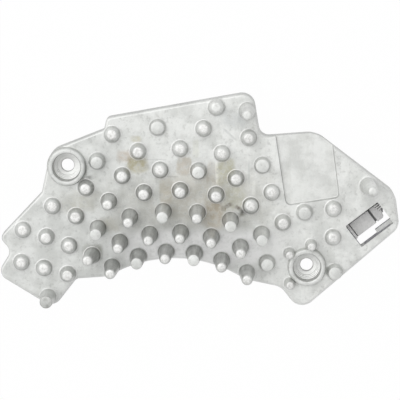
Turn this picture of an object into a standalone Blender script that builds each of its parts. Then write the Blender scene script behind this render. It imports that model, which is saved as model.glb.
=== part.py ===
"""Blower motor resistor: the electronic regulator of a car heater blower.

One aluminium casting carries tapered cooling pins on its air side and the electronics on its back,
closed by a plastic cover. The rows of pins, the arc edge and the cover are struck about the blower's
axis, and places across the part are measured from the middle of that arc. The finished part is then
centred over its own outline, with the pins up and the cover's flat back on Z = 0.
"""
import math

import bmesh
import bpy
from mathutils import Matrix, Vector

MM = 0.001

# Thicknesses and heights
CASTING_DEPTH = 8.0 * MM
PLATE_THICKNESS = 3.5 * MM
BOSS_HEIGHT = 3.0 * MM
SEAT_THICKNESS = 2.5 * MM
CLEARANCE = 0.3 * MM

# The casting's outline, anticlockwise: x, y and corner radius in millimetres. The left and right lists
# are measured from the crown of the arc edge, which runs between them, and the top list from the crown
# of the cover's outer side, so that the casting keeps its margin round the cover.
OUTLINE_LEFT = [
    (-73.1, 8.7, 2.8),
    (-68.1, 3.0, 3.8),
    (-74.2, -6.6, 4.2),
    (-50.6, -21.1, 5.0),
    (-40.9, -8.6, 2.5),
    (-29.0, -7.8, 3.0),
]
OUTLINE_RIGHT = [
    (32.3, -9.4, 3.0),
    (44.2, -11.9, 6.0),
    (52.4, -22.3, 6.2),
    (93.5, 13.3, 5.4),
    (91.6, 27.8, 8.3),
]
OUTLINE_TOP = [
    (58.7, 0.2, 10.0),
    (35.7, -1.5, 4.0),
    (32.6, 17.2, 5.6),
    (-28.1, 6.3, 2.2),
    (-29.2, 1.4, 1.2),
    (-51.4, -7.4, 6.6),
    (-55.3, -25.0, 1.5),
]
ARC_RADIUS = 53.4 * MM
ARC_LEFT_RUN = 23.3 * MM
ARC_RIGHT_RUN = 28.6 * MM
ARC_STEP = 4.0
CORNER_STEP = 20.0
SMALLEST_CORNER = 0.4 * MM
EDGE_ROUND = 1.0 * MM
SKIRT_WALL = 2.4 * MM

# Rows of pins over the arc and beyond the cover's outer side. A row is its distance from that arc, its
# first place and pitch along itself, all in millimetres, and its planting, one letter for each pin.
INNER_ROWS = [
    (3.0, -27.0, 11.76, "tTtTtt"),
    (11.2, -49.0, 12.89, "lttttttMs"),
    (20.1, -61.2, 14.15, "nnTtTtTTs"),
    (28.8, -73.0, 15.08, "nllhmmmnlsL"),
    (37.5, -69.65, 15.93, "nnllnMlnLn"),
]
OUTER_ROWS = [
    (-6.4, -32.5, 17.45, "MlnnN.n"),
    (2.6, -26.0, 19.07, "nNnn"),
    (12.1, 17.5, 0.0, "n"),
    (13.2, 30.4, 0.0, "t"),
    (10.3, 88.5, 0.0, "t"),
]
# The pin in the lower left corner, out of the rows: its place from the arc's crown, and its letter
CORNER_PIN = (-52.8, -16.3)
CORNER_PIN_KIND = "h"
# Each letter's height and tip radius in millimetres. A capital is a pin with a flat ejector end.
PIN_KINDS = {
    "t": (20.0, 2.35),
    "T": (20.0, 2.4),
    "h": (13.0, 2.4),
    "m": (8.0, 2.45),
    "M": (7.0, 2.6),
    "l": (5.0, 2.5),
    "L": (4.7, 2.7),
    "n": (3.0, 2.6),
    "N": (2.8, 2.85),
    "s": (6.5, 1.8),
}
# Two pins were knocked over a little: how far their tips moved, in millimetres
LEFT_BENT_PIN = (-1.0, 0.7)
RIGHT_BENT_PIN = (1.1, 0.0)
PIN_RADIUS = 3.05 * MM
SLIM_PIN_RADIUS = 2.2 * MM
PIN_ROOT_RADIUS = 3.6 * MM
PIN_ROOT_HEIGHT = 0.5 * MM
PIN_NOSE_HEIGHT = 1.4 * MM
PIN_NOSE_INSET = 0.55 * MM
PIN_SINK = 1.2 * MM
PIN_SIDES = 10
EDGE_LAND = 0.1 * MM

# Screw bosses, the left one measured from the cover's crown and the right one from the arc's
LEFT_BOSS = (-44.6, -14.0)
RIGHT_BOSS = (55.1, -3.2)
BOSS_RADIUS = 8.0 * MM
BOSS_DRAFT = 0.4 * MM
BOSS_EDGE = 0.5 * MM
WELL_RADIUS = 5.7 * MM
# The funnel's steps: radius and top above the seat, in millimetres
WELL_STEPS = [(4.3, 1.2), (4.7, 2.4), (5.2, 3.6)]
SCREW_HOLE_RADIUS = 2.65 * MM
BOSS_SIDES = 28
HOLE_SIDES = 16

# Window over the connector, turned in the plate
WINDOW_PLACE = (81.0, 14.5)
WINDOW_TURN = 37.5
WINDOW_LENGTH = 16.7 * MM
WINDOW_WIDTH = 11.1 * MM
WINDOW_CORNER = 0.5 * MM
COLLAR_WALL = 2.0 * MM
LEDGE_LENGTH = 8.0 * MM
LEDGE_DEPTH = 1.6 * MM
LEDGE_HEIGHT = 2.5 * MM

# Shallow panel that runs out over the upper edge, measured from the cover's crown
PANEL_CORNERS = [(41.2, 4.0, 0.0), (46.5, -30.0, 2.0), (68.3, -26.6, 1.5), (65.0, -2.0, 0.0)]
PANEL_DEPTH = 1.5 * MM

# Rear cover: an arc-shaped tray with a bay behind the connector. Its sides run along their arcs from
# the middle, to the straight end on the left and to the bay on the right.
COVER_END_RUN = 37.9 * MM
COVER_INNER_RUN = 33.0 * MM
COVER_OUTER_RUN = 50.0 * MM
COVER_MARGIN = 1.6 * MM
COVER_FLOOR = 2.0 * MM
COVER_WALL = 2.0 * MM
COVER_EDGE = 0.8 * MM
COVER_CORNER = 3.0 * MM
INNER_SHOULDER = (48.6, 10.7, 6.0)
OUTER_SHOULDER = (68.6, 39.0, 3.0)
BAY_HALF_WIDTH = 11.0 * MM
SEAL_THICKNESS = 0.8 * MM

# Cover screws: how far in from the cover's sides, two of them at their own runs, and one in the bay
SCREW_INSET = 5.6 * MM
INNER_SCREW_RUN = 31.9 * MM
OUTER_SCREW_RUN = 29.8 * MM
BAY_SCREW_BEHIND = 24.3 * MM
POST_RADIUS = 3.2 * MM
PILLAR_RADIUS = 4.0 * MM
PILLAR_FOOT = 5.4 * MM
COVER_SCREW_RADIUS = 1.5 * MM
COVER_SCREW_HEAD = 2.8 * MM
COVER_SCREW_HEAD_HEIGHT = 1.8 * MM
COVER_SCREW_LENGTH = 12.5 * MM
SCREW_POCKET_DEPTH = 2.4 * MM
SLOT_WIDTH = 0.8 * MM
SLOT_DEPTH = 0.9 * MM

# Circuit board
BOARD_THICKNESS = 1.6 * MM
BOARD_LEVEL = 4.3 * MM
BOARD_MARGIN = 0.5 * MM

# Connector, in the window's own directions
TERMINAL_COUNT = 4
TERMINAL_PITCH = 2.7 * MM
TERMINAL_WIDTH = 1.6 * MM
TERMINAL_THICKNESS = 0.8 * MM
TERMINAL_REACH = 5.5 * MM
TERMINAL_TAIL = 5.0 * MM
TERMINAL_MARGIN = 0.65 * MM
SOCKET_SHIFT = -0.3 * MM
SOCKET_MOUTH = 2.3 * MM
SOCKET_DEPTH = 10.3 * MM
SOCKET_WALL = 1.4 * MM
TERMINAL_SPAN = (TERMINAL_COUNT - 1) * TERMINAL_PITCH + TERMINAL_WIDTH
SOCKET_LENGTH = TERMINAL_SPAN + 2.0 * (TERMINAL_MARGIN + SOCKET_WALL)
SOCKET_FLANGE = 0.8 * MM
SOCKET_FLANGE_THICKNESS = 1.5 * MM
GROOVE_FROM_END = 3.9 * MM
GROOVE_WIDTH = 0.6 * MM
GROOVE_DEPTH = 0.7 * MM
TAB_CORNER = 1.8 * MM

# Power transistors on the casting's pads, side by side about their middle, and the room that the
# small parts have between their feet and the cover's inner side
TRANSISTOR_LENGTH = 20.8 * MM
TRANSISTOR_WIDTH = 15.8 * MM
TRANSISTOR_HEIGHT = 5.0 * MM
TRANSISTOR_BEVEL = 0.6 * MM
TRANSISTOR_GAP = 7.8 * MM
TRANSISTOR_MIDDLE = 3.0 * MM
SMALL_PARTS_ROOM = 8.2 * MM
PAD_HEIGHT = 1.0 * MM
PAD_MARGIN = 1.0 * MM
FILM_THICKNESS = 0.4 * MM
LEG_WIDTH = 1.4 * MM
LEG_THICKNESS = 0.7 * MM
LEG_PITCH = 5.45 * MM
LEG_RUN = 3.0 * MM
LEG_FOOT = 2.0 * MM
CLIP_WIDTH = 8.0 * MM
CLIP_THICKNESS = 0.8 * MM
CLIP_CURL = 1.0 * MM
CLIP_POST_RADIUS = 3.4 * MM
CLIP_POST_GAP = 1.6 * MM
CLIP_POST_MARGIN = 2.2 * MM
CLIP_HEAD_ROOM = 0.9 * MM
CLIP_SCREW_RADIUS = 1.5 * MM
CLIP_SCREW_HEAD = 2.6 * MM
CLIP_SCREW_HEAD_HEIGHT = 1.3 * MM
CLIP_SCREW_LENGTH = 6.0 * MM

# Small parts on the board: places in millimetres from the arc's crown
CAPACITOR_PLACE = (36.6, 26.2)
CAPACITOR_RADIUS = 5.0 * MM
CAPACITOR_HEIGHT = 8.6 * MM
CAPACITOR_CRIMP = 0.6 * MM
FILM_CAPACITOR_PLACE = (33.4, 13.4)
FILM_CAPACITOR_SIZE = (11.0 * MM, 5.0 * MM, 8.0 * MM)
CONTROL_IC_PLACE = (3.0, 9.8)
CONTROL_IC_SIZE = (9.2 * MM, 3.9 * MM, 1.6 * MM)
CONTROL_IC_LEADS = 7
LEAD_THICKNESS = 0.2 * MM
LEAD_KNEE = 0.5 * MM
LEAD_FOOT = 0.6 * MM
SHUNT_PLACE = (18.0, 9.6)
SHUNT_SIZE = (14.0 * MM, 3.6 * MM, 4.0 * MM)
SHUNT_STRIP = 1.0 * MM
SENSOR_ABOVE_MIDDLE = 7.0 * MM
SENSOR_SIZE = (4.4 * MM, 3.4 * MM, 4.6 * MM)

# Stiffening ribs under the plate where the cover leaves it open: ends from the arc's crown
RIBS = [((-66.5, 4.1), (-29.0, 6.1)), ((-68.5, 10.1), (-33.0, 17.1)), ((-58.0, -11.4), (-45.0, -3.4))]
BOSS_RIB_END = (68.0, 10.2)
RIB_WIDTH = 1.6 * MM
RIB_DEPTH = 3.0 * MM

# How far a cutter runs past what it cuts
PASS = 1.0 * MM

# Levels, stacked from the flat back upwards
BOARD_TOP_Z = BOARD_LEVEL + BOARD_THICKNESS
ON_BOARD_Z = BOARD_TOP_Z + CLEARANCE
CLIP_LOW_Z = BOARD_TOP_Z + CLIP_HEAD_ROOM + CLIP_SCREW_HEAD_HEIGHT + CLEARANCE
CLIP_TOP_Z = CLIP_LOW_Z + CLIP_THICKNESS
TRANSISTOR_LOW_Z = CLIP_TOP_Z + CLEARANCE
TRANSISTOR_TOP_Z = TRANSISTOR_LOW_Z + TRANSISTOR_HEIGHT
FILM_Z = TRANSISTOR_TOP_Z + CLEARANCE
PAD_Z = FILM_Z + FILM_THICKNESS + CLEARANCE
UNDERSIDE_Z = PAD_Z + PAD_HEIGHT
PLATE_Z = UNDERSIDE_Z + PLATE_THICKNESS
RIM_Z = PLATE_Z - CASTING_DEPTH
BOSS_TOP_Z = PLATE_Z + BOSS_HEIGHT
SEAT_Z = RIM_Z + SEAT_THICKNESS
SEAL_TOP_Z = UNDERSIDE_Z - CLEARANCE
COVER_RIM_Z = SEAL_TOP_Z - SEAL_THICKNESS - CLEARANCE
SOCKET_LOW = COVER_FLOOR + CLEARANCE
SOCKET_HIGH = RIM_Z - CLEARANCE

# Places across the part, from the crown of the arc edge outwards
COVER_INNER_CROWN = SKIRT_WALL + COVER_MARGIN
TRANSISTOR_FEET = COVER_INNER_CROWN + COVER_WALL + SMALL_PARTS_ROOM
TRANSISTOR_Y = TRANSISTOR_FEET + LEG_FOOT + LEG_RUN + TRANSISTOR_LENGTH / 2.0
CLIP_POST_Y = TRANSISTOR_Y + TRANSISTOR_LENGTH / 2.0 + CLIP_POST_GAP + CLIP_POST_RADIUS
COVER_CROWN = CLIP_POST_Y + CLIP_POST_RADIUS + CLIP_POST_MARGIN + COVER_WALL


def remove_everything():
    """Start from an empty scene."""
    for item in list(bpy.data.objects):
        bpy.data.objects.remove(item, do_unlink=True)


def material(name, colour, roughness, metallic):
    """One Principled surface, made once under its name."""
    found = bpy.data.materials.get(name)
    if found:
        return found
    made = bpy.data.materials.new(name)
    made.use_nodes = True
    surface = made.node_tree.nodes["Principled BSDF"]
    surface.inputs["Base Color"].default_value = (*colour, 1.0)
    surface.inputs["Roughness"].default_value = roughness
    surface.inputs["Metallic"].default_value = metallic
    return made


def place_from(crown, place):
    """A place in millimetres across from the middle and up from a crown."""
    return Vector((place[0] * MM, crown + place[1] * MM))


def corner_list(crown, rows):
    """Rows of x, y and radius in millimetres, measured from a crown, as points and radii."""
    return [(place_from(crown, row[:2]), row[2] * MM) for row in rows]


def on_arc(out, run):
    """A point so far out from the arc edge, and so far along its own arc from the middle."""
    radius = ARC_RADIUS + out
    turn = run / radius
    return Vector((math.sin(turn) * radius, math.cos(turn) * radius - ARC_RADIUS))


def arc_corners(out, start, end):
    """Sharp corners along an arc about the blower's axis."""
    steps = max(1, round(math.degrees(abs(end - start) / (ARC_RADIUS + out)) / ARC_STEP))
    return [(on_arc(out, start + (end - start) * step / steps), 0.0) for step in range(steps + 1)]


def offset_corners(corners, distance):
    """The outline with its sides moved inwards, and its corner radii changed to match."""
    moved = []
    for index, (point, radius) in enumerate(corners):
        before = (point - corners[index - 1][0]).normalized()
        after = (corners[(index + 1) % len(corners)][0] - point).normalized()
        inward_before = Vector((-before.y, before.x))
        inward_after = Vector((-after.y, after.x))
        shift = (inward_before + inward_after) * distance / (1.0 + inward_before.dot(inward_after))
        turns_left = before.x * after.y - before.y * after.x > 0.0
        new_radius = radius - distance if turns_left else radius + distance
        if radius > 0.0:
            new_radius = max(new_radius, SMALLEST_CORNER)
        else:
            new_radius = 0.0
        moved.append((point + shift, new_radius))
    return moved


def rounded(corners):
    """Points of the outline with an arc in each corner, as wide as its sides allow."""
    points = []
    for index, (point, radius) in enumerate(corners):
        to_before = corners[index - 1][0] - point
        to_after = corners[(index + 1) % len(corners)][0] - point
        turn = math.pi - to_before.angle(to_after)
        if radius == 0.0 or turn < math.radians(1.0):
            points.append(point)
            continue
        room = 0.48 * min(to_before.length, to_after.length)
        tangent = min(radius * math.tan(turn / 2.0), room)
        fitted = tangent / math.tan(turn / 2.0)
        middle = (to_before.normalized() + to_after.normalized()).normalized()
        centre = point + middle * math.hypot(tangent, fitted)
        start = point + to_before.normalized() * tangent - centre
        end = point + to_after.normalized() * tangent - centre
        sweep = start.angle_signed(end)
        steps = max(1, math.ceil(turn / math.radians(CORNER_STEP)))
        for step in range(steps + 1):
            points.append(centre + Matrix.Rotation(-sweep * step / steps, 2) @ start)
    return points


def circle(centre, radius, sides):
    """Points of a circle, anticlockwise."""
    turns = [2.0 * math.pi * side / sides for side in range(sides)]
    return [centre + Vector((math.cos(turn), math.sin(turn))) * radius for turn in turns]


def at_level(points, level):
    """Flat points lifted to a level."""
    return [Vector((point.x, point.y, level)) for point in points]


def add_loft(mesh, loops):
    """Add a closed body through loops of equal count, lowest first, with its ends filled."""
    rings = [[mesh.verts.new(point) for point in loop] for loop in loops]
    mesh.faces.new(reversed(rings[0]))
    for lower, upper in zip(rings, rings[1:]):
        for index in range(len(lower)):
            after = (index + 1) % len(lower)
            mesh.faces.new((lower[index], lower[after], upper[after], upper[index]))
    mesh.faces.new(rings[-1])


def add_prism(mesh, corners, low, high):
    """Add an outline's straight prism."""
    points = rounded(corners)
    add_loft(mesh, [at_level(points, low), at_level(points, high)])


def add_turned(mesh, centre, profile, sides):
    """Add a turned body from its profile of radius and level, lowest first."""
    add_loft(mesh, [at_level(circle(centre, radius, sides), level) for radius, level in profile])


def block_corners(centre, half_length, half_width, turn=0.0, radius=0.0):
    """Corners of a turned rectangle."""
    rotation = Matrix.Rotation(math.radians(turn), 2)
    signs = [(-1, -1), (1, -1), (1, 1), (-1, 1)]
    return [(centre + rotation @ Vector((x * half_length, y * half_width)), radius) for x, y in signs]


def window_point(along, out):
    """A point in the window's own directions: along its length, and out of the socket's mouth."""
    turn = math.radians(WINDOW_TURN)
    length_way = Vector((math.cos(turn), math.sin(turn)))
    mouth_way = Vector((math.sin(turn), -math.cos(turn)))
    return place_from(0.0, WINDOW_PLACE) + length_way * along + mouth_way * out


def window_block(along_from, along_to, out_from, out_to, radius=0.0):
    """Corners of a rectangle in the window's own directions."""
    places = [(along_from, out_to), (along_to, out_to), (along_to, out_from), (along_from, out_from)]
    return [(window_point(along, out), radius) for along, out in places]


def new_object(name, mesh, surface=None, parent=None):
    """Turn a bmesh into a named object, smooth on its round parts."""
    bmesh.ops.recalc_face_normals(mesh, faces=mesh.faces)
    data = bpy.data.meshes.new(name)
    mesh.to_mesh(data)
    mesh.free()
    made = bpy.data.objects.new(name, data)
    bpy.context.collection.objects.link(made)
    made.parent = parent
    if surface:
        data.materials.append(surface)
        data.shade_smooth()
        data.set_sharp_from_angle(angle=math.radians(35.0))
    return made


def shape(target, tool, operation):
    """Cut a tool from an object or join it on, and hide the tool."""
    step = target.modifiers.new(tool.name, "BOOLEAN")
    step.operation = operation
    step.solver = "EXACT"
    step.use_self = True
    step.object = tool
    tool.display_type = "WIRE"
    tool.hide_render = True


def shaped_at(name, body, tool_mesh, operation, place, level, surface, parent):
    """A placed object with one tool cut from it or joined on."""
    made = new_object(name, body, surface, parent)
    tool = new_object(name + "_tool", tool_mesh, parent=parent)
    made.location = (place.x, place.y, level)
    tool.location = made.location
    shape(made, tool, operation)


def casting_corners():
    """Corners of the casting's whole outline, anticlockwise."""
    arc = arc_corners(0.0, -ARC_LEFT_RUN, ARC_RIGHT_RUN)
    return (corner_list(0.0, OUTLINE_LEFT) + arc + corner_list(0.0, OUTLINE_RIGHT)
            + corner_list(COVER_CROWN, OUTLINE_TOP))


def cover_corners():
    """Corners of the cover: two arcs about the blower's axis, and a bay up to the window's collar."""
    inner = arc_corners(COVER_INNER_CROWN, end_run(COVER_INNER_CROWN), COVER_INNER_RUN)
    outer = arc_corners(COVER_CROWN, COVER_OUTER_RUN, end_run(COVER_CROWN))
    inner[0] = (inner[0][0], COVER_CORNER)
    inner[-1] = (inner[-1][0], COVER_CORNER)
    outer[-1] = (outer[-1][0], COVER_CORNER)
    bay_edge = bay_wall_place()
    bay_near = (window_point(-BAY_HALF_WIDTH, bay_edge), COVER_CORNER)
    bay_far = (window_point(BAY_HALF_WIDTH, bay_edge), COVER_CORNER)
    inner_shoulder, outer_shoulder = corner_list(0.0, [INNER_SHOULDER, OUTER_SHOULDER])
    return inner + [inner_shoulder, bay_near, bay_far, outer_shoulder] + outer


def end_run(out):
    """How far along its arc the cover's straight end stands, which points at the blower's axis."""
    return -COVER_END_RUN * (ARC_RADIUS + out) / (ARC_RADIUS + COVER_CROWN)


def bay_wall_place():
    """How far behind the window's middle the cover's bay wall stands, just clear of the collar."""
    return -(WINDOW_WIDTH / 2.0 + COLLAR_WALL + CLEARANCE)


def cover_screw_places():
    """Places of the cover screws, the first two in the corners of the straight end."""
    outer = COVER_CROWN - SCREW_INSET
    inner = COVER_INNER_CROWN + SCREW_INSET
    return [
        on_arc(outer, end_run(outer) + SCREW_INSET),
        on_arc(inner, end_run(inner) + SCREW_INSET),
        on_arc(inner, INNER_SCREW_RUN),
        on_arc(outer, OUTER_SCREW_RUN),
        window_point(0.0, -BAY_SCREW_BEHIND),
    ]


def transistor_places():
    """Middles of the two transistors."""
    apart = (TRANSISTOR_WIDTH + TRANSISTOR_GAP) / 2.0
    return [Vector((TRANSISTOR_MIDDLE + side * apart, TRANSISTOR_Y)) for side in (-1.0, 1.0)]


def boss_places():
    """Middles of the two screw bosses."""
    return [place_from(COVER_CROWN, LEFT_BOSS), place_from(0.0, RIGHT_BOSS)]


def clip_post_place(transistor):
    """Where the clip's post stands, past the transistor's end."""
    return Vector((transistor.x, CLIP_POST_Y))


def sides_near(place):
    """The casting's sides that a pin's root could reach: a point on each, and its direction inwards."""
    outline = rounded(casting_corners())
    sides = []
    for index, start in enumerate(outline):
        side = outline[(index + 1) % len(outline)] - start
        share = max(0.0, min(1.0, (place - start).dot(side) / side.length_squared))
        if (place - start - side * share).length < PIN_ROOT_RADIUS + EDGE_LAND:
            sides.append((start, Vector((-side.y, side.x)).normalized()))
    return sides


def held_in(points, sides):
    """Points of a pin's loop, drawn back to the land that is left along the casting's sides."""
    for start, inward in sides:
        points = [point + inward * max(0.0, EDGE_LAND - (point - start).dot(inward)) for point in points]
    return points


def pin_loops(place, kind, bend):
    """Loops of one pin: sunk foot, flared root, drafted shank, and a round nose or a flat end."""
    height, tip_radius = PIN_KINDS[kind]
    sides = sides_near(place)
    foot = SLIM_PIN_RADIUS if kind == "s" else PIN_RADIUS
    root = foot + PIN_ROOT_RADIUS - PIN_RADIUS
    top = PLATE_Z + height * MM
    profile = [(root, PLATE_Z - PIN_SINK), (root, PLATE_Z), (foot, PLATE_Z + PIN_ROOT_HEIGHT)]
    if kind.isupper():
        profile.append((tip_radius * MM, top))
    else:
        profile.append((tip_radius * MM, top - PIN_NOSE_HEIGHT))
        profile.append((tip_radius * MM - PIN_NOSE_INSET, top))
    loops = []
    for radius, level in profile:
        lean = bend * max(0.0, (level - PLATE_Z) / (top - PLATE_Z))
        points = held_in(circle(place, radius, PIN_SIDES), sides)
        loops.append(at_level([point + lean for point in points], level))
    return loops


def pins(parent):
    """All pins, row by row."""
    mesh = bmesh.new()
    upright = Vector((0.0, 0.0))
    bends = {(INNER_ROWS[1], 1): Vector(LEFT_BENT_PIN) * MM, (OUTER_ROWS[-1], 0): Vector(RIGHT_BENT_PIN) * MM}
    rows = [(row, 0.0) for row in INNER_ROWS] + [(row, COVER_CROWN) for row in OUTER_ROWS]
    for row, crown in rows:
        out, first, pitch, planting = row
        for number, kind in enumerate(planting):
            if kind != ".":
                place = on_arc(crown + out * MM, (first + pitch * number) * MM)
                add_loft(mesh, pin_loops(place, kind, bends.get((row, number), upright)))
    add_loft(mesh, pin_loops(place_from(0.0, CORNER_PIN), CORNER_PIN_KIND, upright))
    return new_object("pin_field", mesh, parent=parent)


def casting_blank(parent, surface):
    """The solid plate with its outer top edge rounded."""
    corners = casting_corners()
    levels = [(0.0, RIM_Z), (0.0, PLATE_Z - EDGE_ROUND)]
    for turn in (30.0, 60.0, 90.0):
        inset = EDGE_ROUND * (1.0 - math.cos(math.radians(turn)))
        levels.append((inset, PLATE_Z - EDGE_ROUND * (1.0 - math.sin(math.radians(turn)))))
    mesh = bmesh.new()
    add_loft(mesh, [at_level(rounded(offset_corners(corners, inset)), level) for inset, level in levels])
    return new_object("heat_sink", mesh, surface, parent)


def cavity(parent):
    """The hollow behind the plate, less the posts, pads, ribs and collar that stay standing in it."""
    mesh = bmesh.new()
    add_prism(mesh, offset_corners(casting_corners(), SKIRT_WALL), RIM_Z - PASS, UNDERSIDE_Z)
    hollow = new_object("cavity_cutter", mesh, parent=parent)
    mesh = bmesh.new()
    over = UNDERSIDE_Z + PASS
    for place in boss_places():
        add_turned(mesh, place, [(BOSS_RADIUS, RIM_Z - 2.0 * PASS), (BOSS_RADIUS, over)], BOSS_SIDES)
    for place in cover_screw_places():
        add_turned(mesh, place, [(POST_RADIUS, RIM_Z - 2.0 * PASS), (POST_RADIUS, over)], HOLE_SIDES)
    for place in transistor_places():
        half_width = TRANSISTOR_WIDTH / 2.0 + PAD_MARGIN
        half_length = TRANSISTOR_LENGTH / 2.0 + PAD_MARGIN
        add_prism(mesh, block_corners(place, half_width, half_length), PAD_Z, over)
    half_length = WINDOW_LENGTH / 2.0 + COLLAR_WALL
    half_width = WINDOW_WIDTH / 2.0 + COLLAR_WALL
    collar = window_block(-half_length, half_length, -half_width, half_width)
    add_prism(mesh, collar, RIM_Z - 2.0 * PASS, over)
    ribs = [(place_from(0.0, start), place_from(0.0, end)) for start, end in RIBS]
    ribs.append((boss_places()[1], place_from(0.0, BOSS_RIB_END)))
    for start, end in ribs:
        add_prism(mesh, rib_corners(start, end), UNDERSIDE_Z - RIB_DEPTH, over)
    shape(hollow, new_object("standing_features", mesh, parent=parent), "DIFFERENCE")
    return hollow


def rib_corners(start, end):
    """Corners of a straight rib between two points."""
    run = end - start
    turn = math.degrees(math.atan2(run.y, run.x))
    return block_corners((start + end) / 2.0, run.length / 2.0, RIB_WIDTH / 2.0, turn)


def bosses_and_posts(parent):
    """The raised boss rims on the air side and the clip posts on the back."""
    mesh = bmesh.new()
    foot = PLATE_Z - PIN_SINK
    profile = [(BOSS_RADIUS, foot), (BOSS_RADIUS, PLATE_Z),
               (BOSS_RADIUS - BOSS_DRAFT, BOSS_TOP_Z - BOSS_EDGE),
               (BOSS_RADIUS - BOSS_DRAFT - BOSS_EDGE, BOSS_TOP_Z)]
    for place in boss_places():
        add_turned(mesh, place, profile, BOSS_SIDES)
    for place in transistor_places():
        post = [(CLIP_POST_RADIUS, TRANSISTOR_LOW_Z), (CLIP_POST_RADIUS, UNDERSIDE_Z + PASS)]
        add_turned(mesh, clip_post_place(place), post, HOLE_SIDES)
    return new_object("bosses_and_posts", mesh, parent=parent)


def bores(parent):
    """Wells and through holes in the bosses, and blind holes in the posts."""
    mesh = bmesh.new()
    profile = [(SCREW_HOLE_RADIUS, RIM_Z - PASS), (SCREW_HOLE_RADIUS, SEAT_Z)]
    for radius, above_seat in WELL_STEPS:
        profile.append((radius * MM, profile[-1][1]))
        profile.append((radius * MM, SEAT_Z + above_seat * MM))
    profile.append((WELL_RADIUS, BOSS_TOP_Z - BOSS_EDGE))
    profile.append((WELL_RADIUS + BOSS_EDGE / 2.0, BOSS_TOP_Z + PASS))
    for place in boss_places():
        add_turned(mesh, place, profile, BOSS_SIDES)
    radius = COVER_SCREW_RADIUS + CLEARANCE
    top = SCREW_POCKET_DEPTH + COVER_SCREW_LENGTH + CLEARANCE
    for place in cover_screw_places():
        add_turned(mesh, place, [(radius, RIM_Z - PASS), (radius, top)], HOLE_SIDES)
    radius = CLIP_SCREW_RADIUS + CLEARANCE
    top = CLIP_LOW_Z + CLIP_SCREW_LENGTH
    for place in transistor_places():
        add_turned(mesh, clip_post_place(place), [(radius, TRANSISTOR_LOW_Z - PASS), (radius, top)], HOLE_SIDES)
    return new_object("bores", mesh, parent=parent)


def window_and_panel(parent):
    """The through window, less the ledge in its outer wall, and the shallow panel."""
    half_length = WINDOW_LENGTH / 2.0
    half_width = WINDOW_WIDTH / 2.0
    mesh = bmesh.new()
    opening = window_block(-half_length, half_length, -half_width, half_width, WINDOW_CORNER)
    add_prism(mesh, opening, RIM_Z - PASS, PLATE_Z + PASS)
    add_prism(mesh, corner_list(COVER_CROWN, PANEL_CORNERS), PLATE_Z - PANEL_DEPTH, PLATE_Z + PASS)
    cutter = new_object("window_and_panel", mesh, parent=parent)
    mesh = bmesh.new()
    ledge = window_block(half_length - LEDGE_LENGTH, half_length + PASS, half_width - LEDGE_DEPTH, half_width + PASS)
    add_prism(mesh, ledge, RIM_Z - 2.0 * PASS, RIM_Z + LEDGE_HEIGHT)
    shape(cutter, new_object("window_ledge", mesh, parent=parent), "DIFFERENCE")
    return cutter


def heat_sink(parent):
    """The casting: plate, skirt, pins, bosses, window and panel in one piece."""
    surface = material("cast_aluminium", (0.62, 0.63, 0.61), 0.42, 1.0)
    casting = casting_blank(parent, surface)
    shape(casting, cavity(parent), "DIFFERENCE")
    shape(casting, bosses_and_posts(parent), "UNION")
    shape(casting, pins(parent), "UNION")
    shape(casting, bores(parent), "DIFFERENCE")
    shape(casting, window_and_panel(parent), "DIFFERENCE")


def rear_cover(parent):
    """The moulded tray: rounded back edge, screw pillars with board shoulders, and pockets for heads."""
    surface = material("black_plastic", (0.02, 0.02, 0.022), 0.5, 0.0)
    corners = cover_corners()
    levels = [(COVER_EDGE, 0.0), (COVER_EDGE * 0.3, COVER_EDGE * 0.3), (0.0, COVER_EDGE), (0.0, COVER_RIM_Z)]
    mesh = bmesh.new()
    add_loft(mesh, [at_level(rounded(offset_corners(corners, inset)), level) for inset, level in levels])
    cover = new_object("rear_cover", mesh, surface, parent)
    mesh = bmesh.new()
    add_prism(mesh, offset_corners(corners, COVER_WALL), COVER_FLOOR, COVER_RIM_Z + PASS)
    hollow = new_object("cover_hollow", mesh, parent=parent)
    mesh = bmesh.new()
    pillar = [(PILLAR_FOOT, COVER_FLOOR - PASS), (PILLAR_FOOT, BOARD_LEVEL - CLEARANCE),
              (PILLAR_RADIUS, BOARD_LEVEL - CLEARANCE), (PILLAR_RADIUS, RIM_Z - CLEARANCE)]
    for place in cover_screw_places():
        add_turned(mesh, place, pillar, HOLE_SIDES)
    shape(hollow, new_object("cover_pillars", mesh, parent=parent), "DIFFERENCE")
    shape(cover, hollow, "DIFFERENCE")
    mesh = bmesh.new()
    bore = [(COVER_SCREW_HEAD + CLEARANCE, -PASS), (COVER_SCREW_HEAD + CLEARANCE, SCREW_POCKET_DEPTH),
            (COVER_SCREW_RADIUS + CLEARANCE, SCREW_POCKET_DEPTH), (COVER_SCREW_RADIUS + CLEARANCE, RIM_Z + PASS)]
    for place in cover_screw_places():
        add_turned(mesh, place, bore, HOLE_SIDES)
    wall = bay_wall_place()
    half = SOCKET_LENGTH / 2.0 + CLEARANCE
    port = window_block(SOCKET_SHIFT - half, SOCKET_SHIFT + half, wall - COVER_WALL - PASS, wall + PASS)
    add_prism(mesh, port, SOCKET_LOW - CLEARANCE, SOCKET_HIGH + CLEARANCE)
    shape(cover, new_object("cover_bores", mesh, parent=parent), "DIFFERENCE")


def cover_seal(parent):
    """The gasket between the cover's rim and the plate."""
    surface = material("seal_rubber", (0.03, 0.03, 0.03), 0.8, 0.0)
    low = COVER_RIM_Z + CLEARANCE
    mesh = bmesh.new()
    add_prism(mesh, cover_corners(), low, SEAL_TOP_Z)
    seal = new_object("cover_seal", mesh, surface, parent)
    mesh = bmesh.new()
    add_prism(mesh, offset_corners(cover_corners(), COVER_WALL), low - PASS, SEAL_TOP_Z + PASS)
    shape(seal, new_object("seal_hollow", mesh, parent=parent), "DIFFERENCE")


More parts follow.
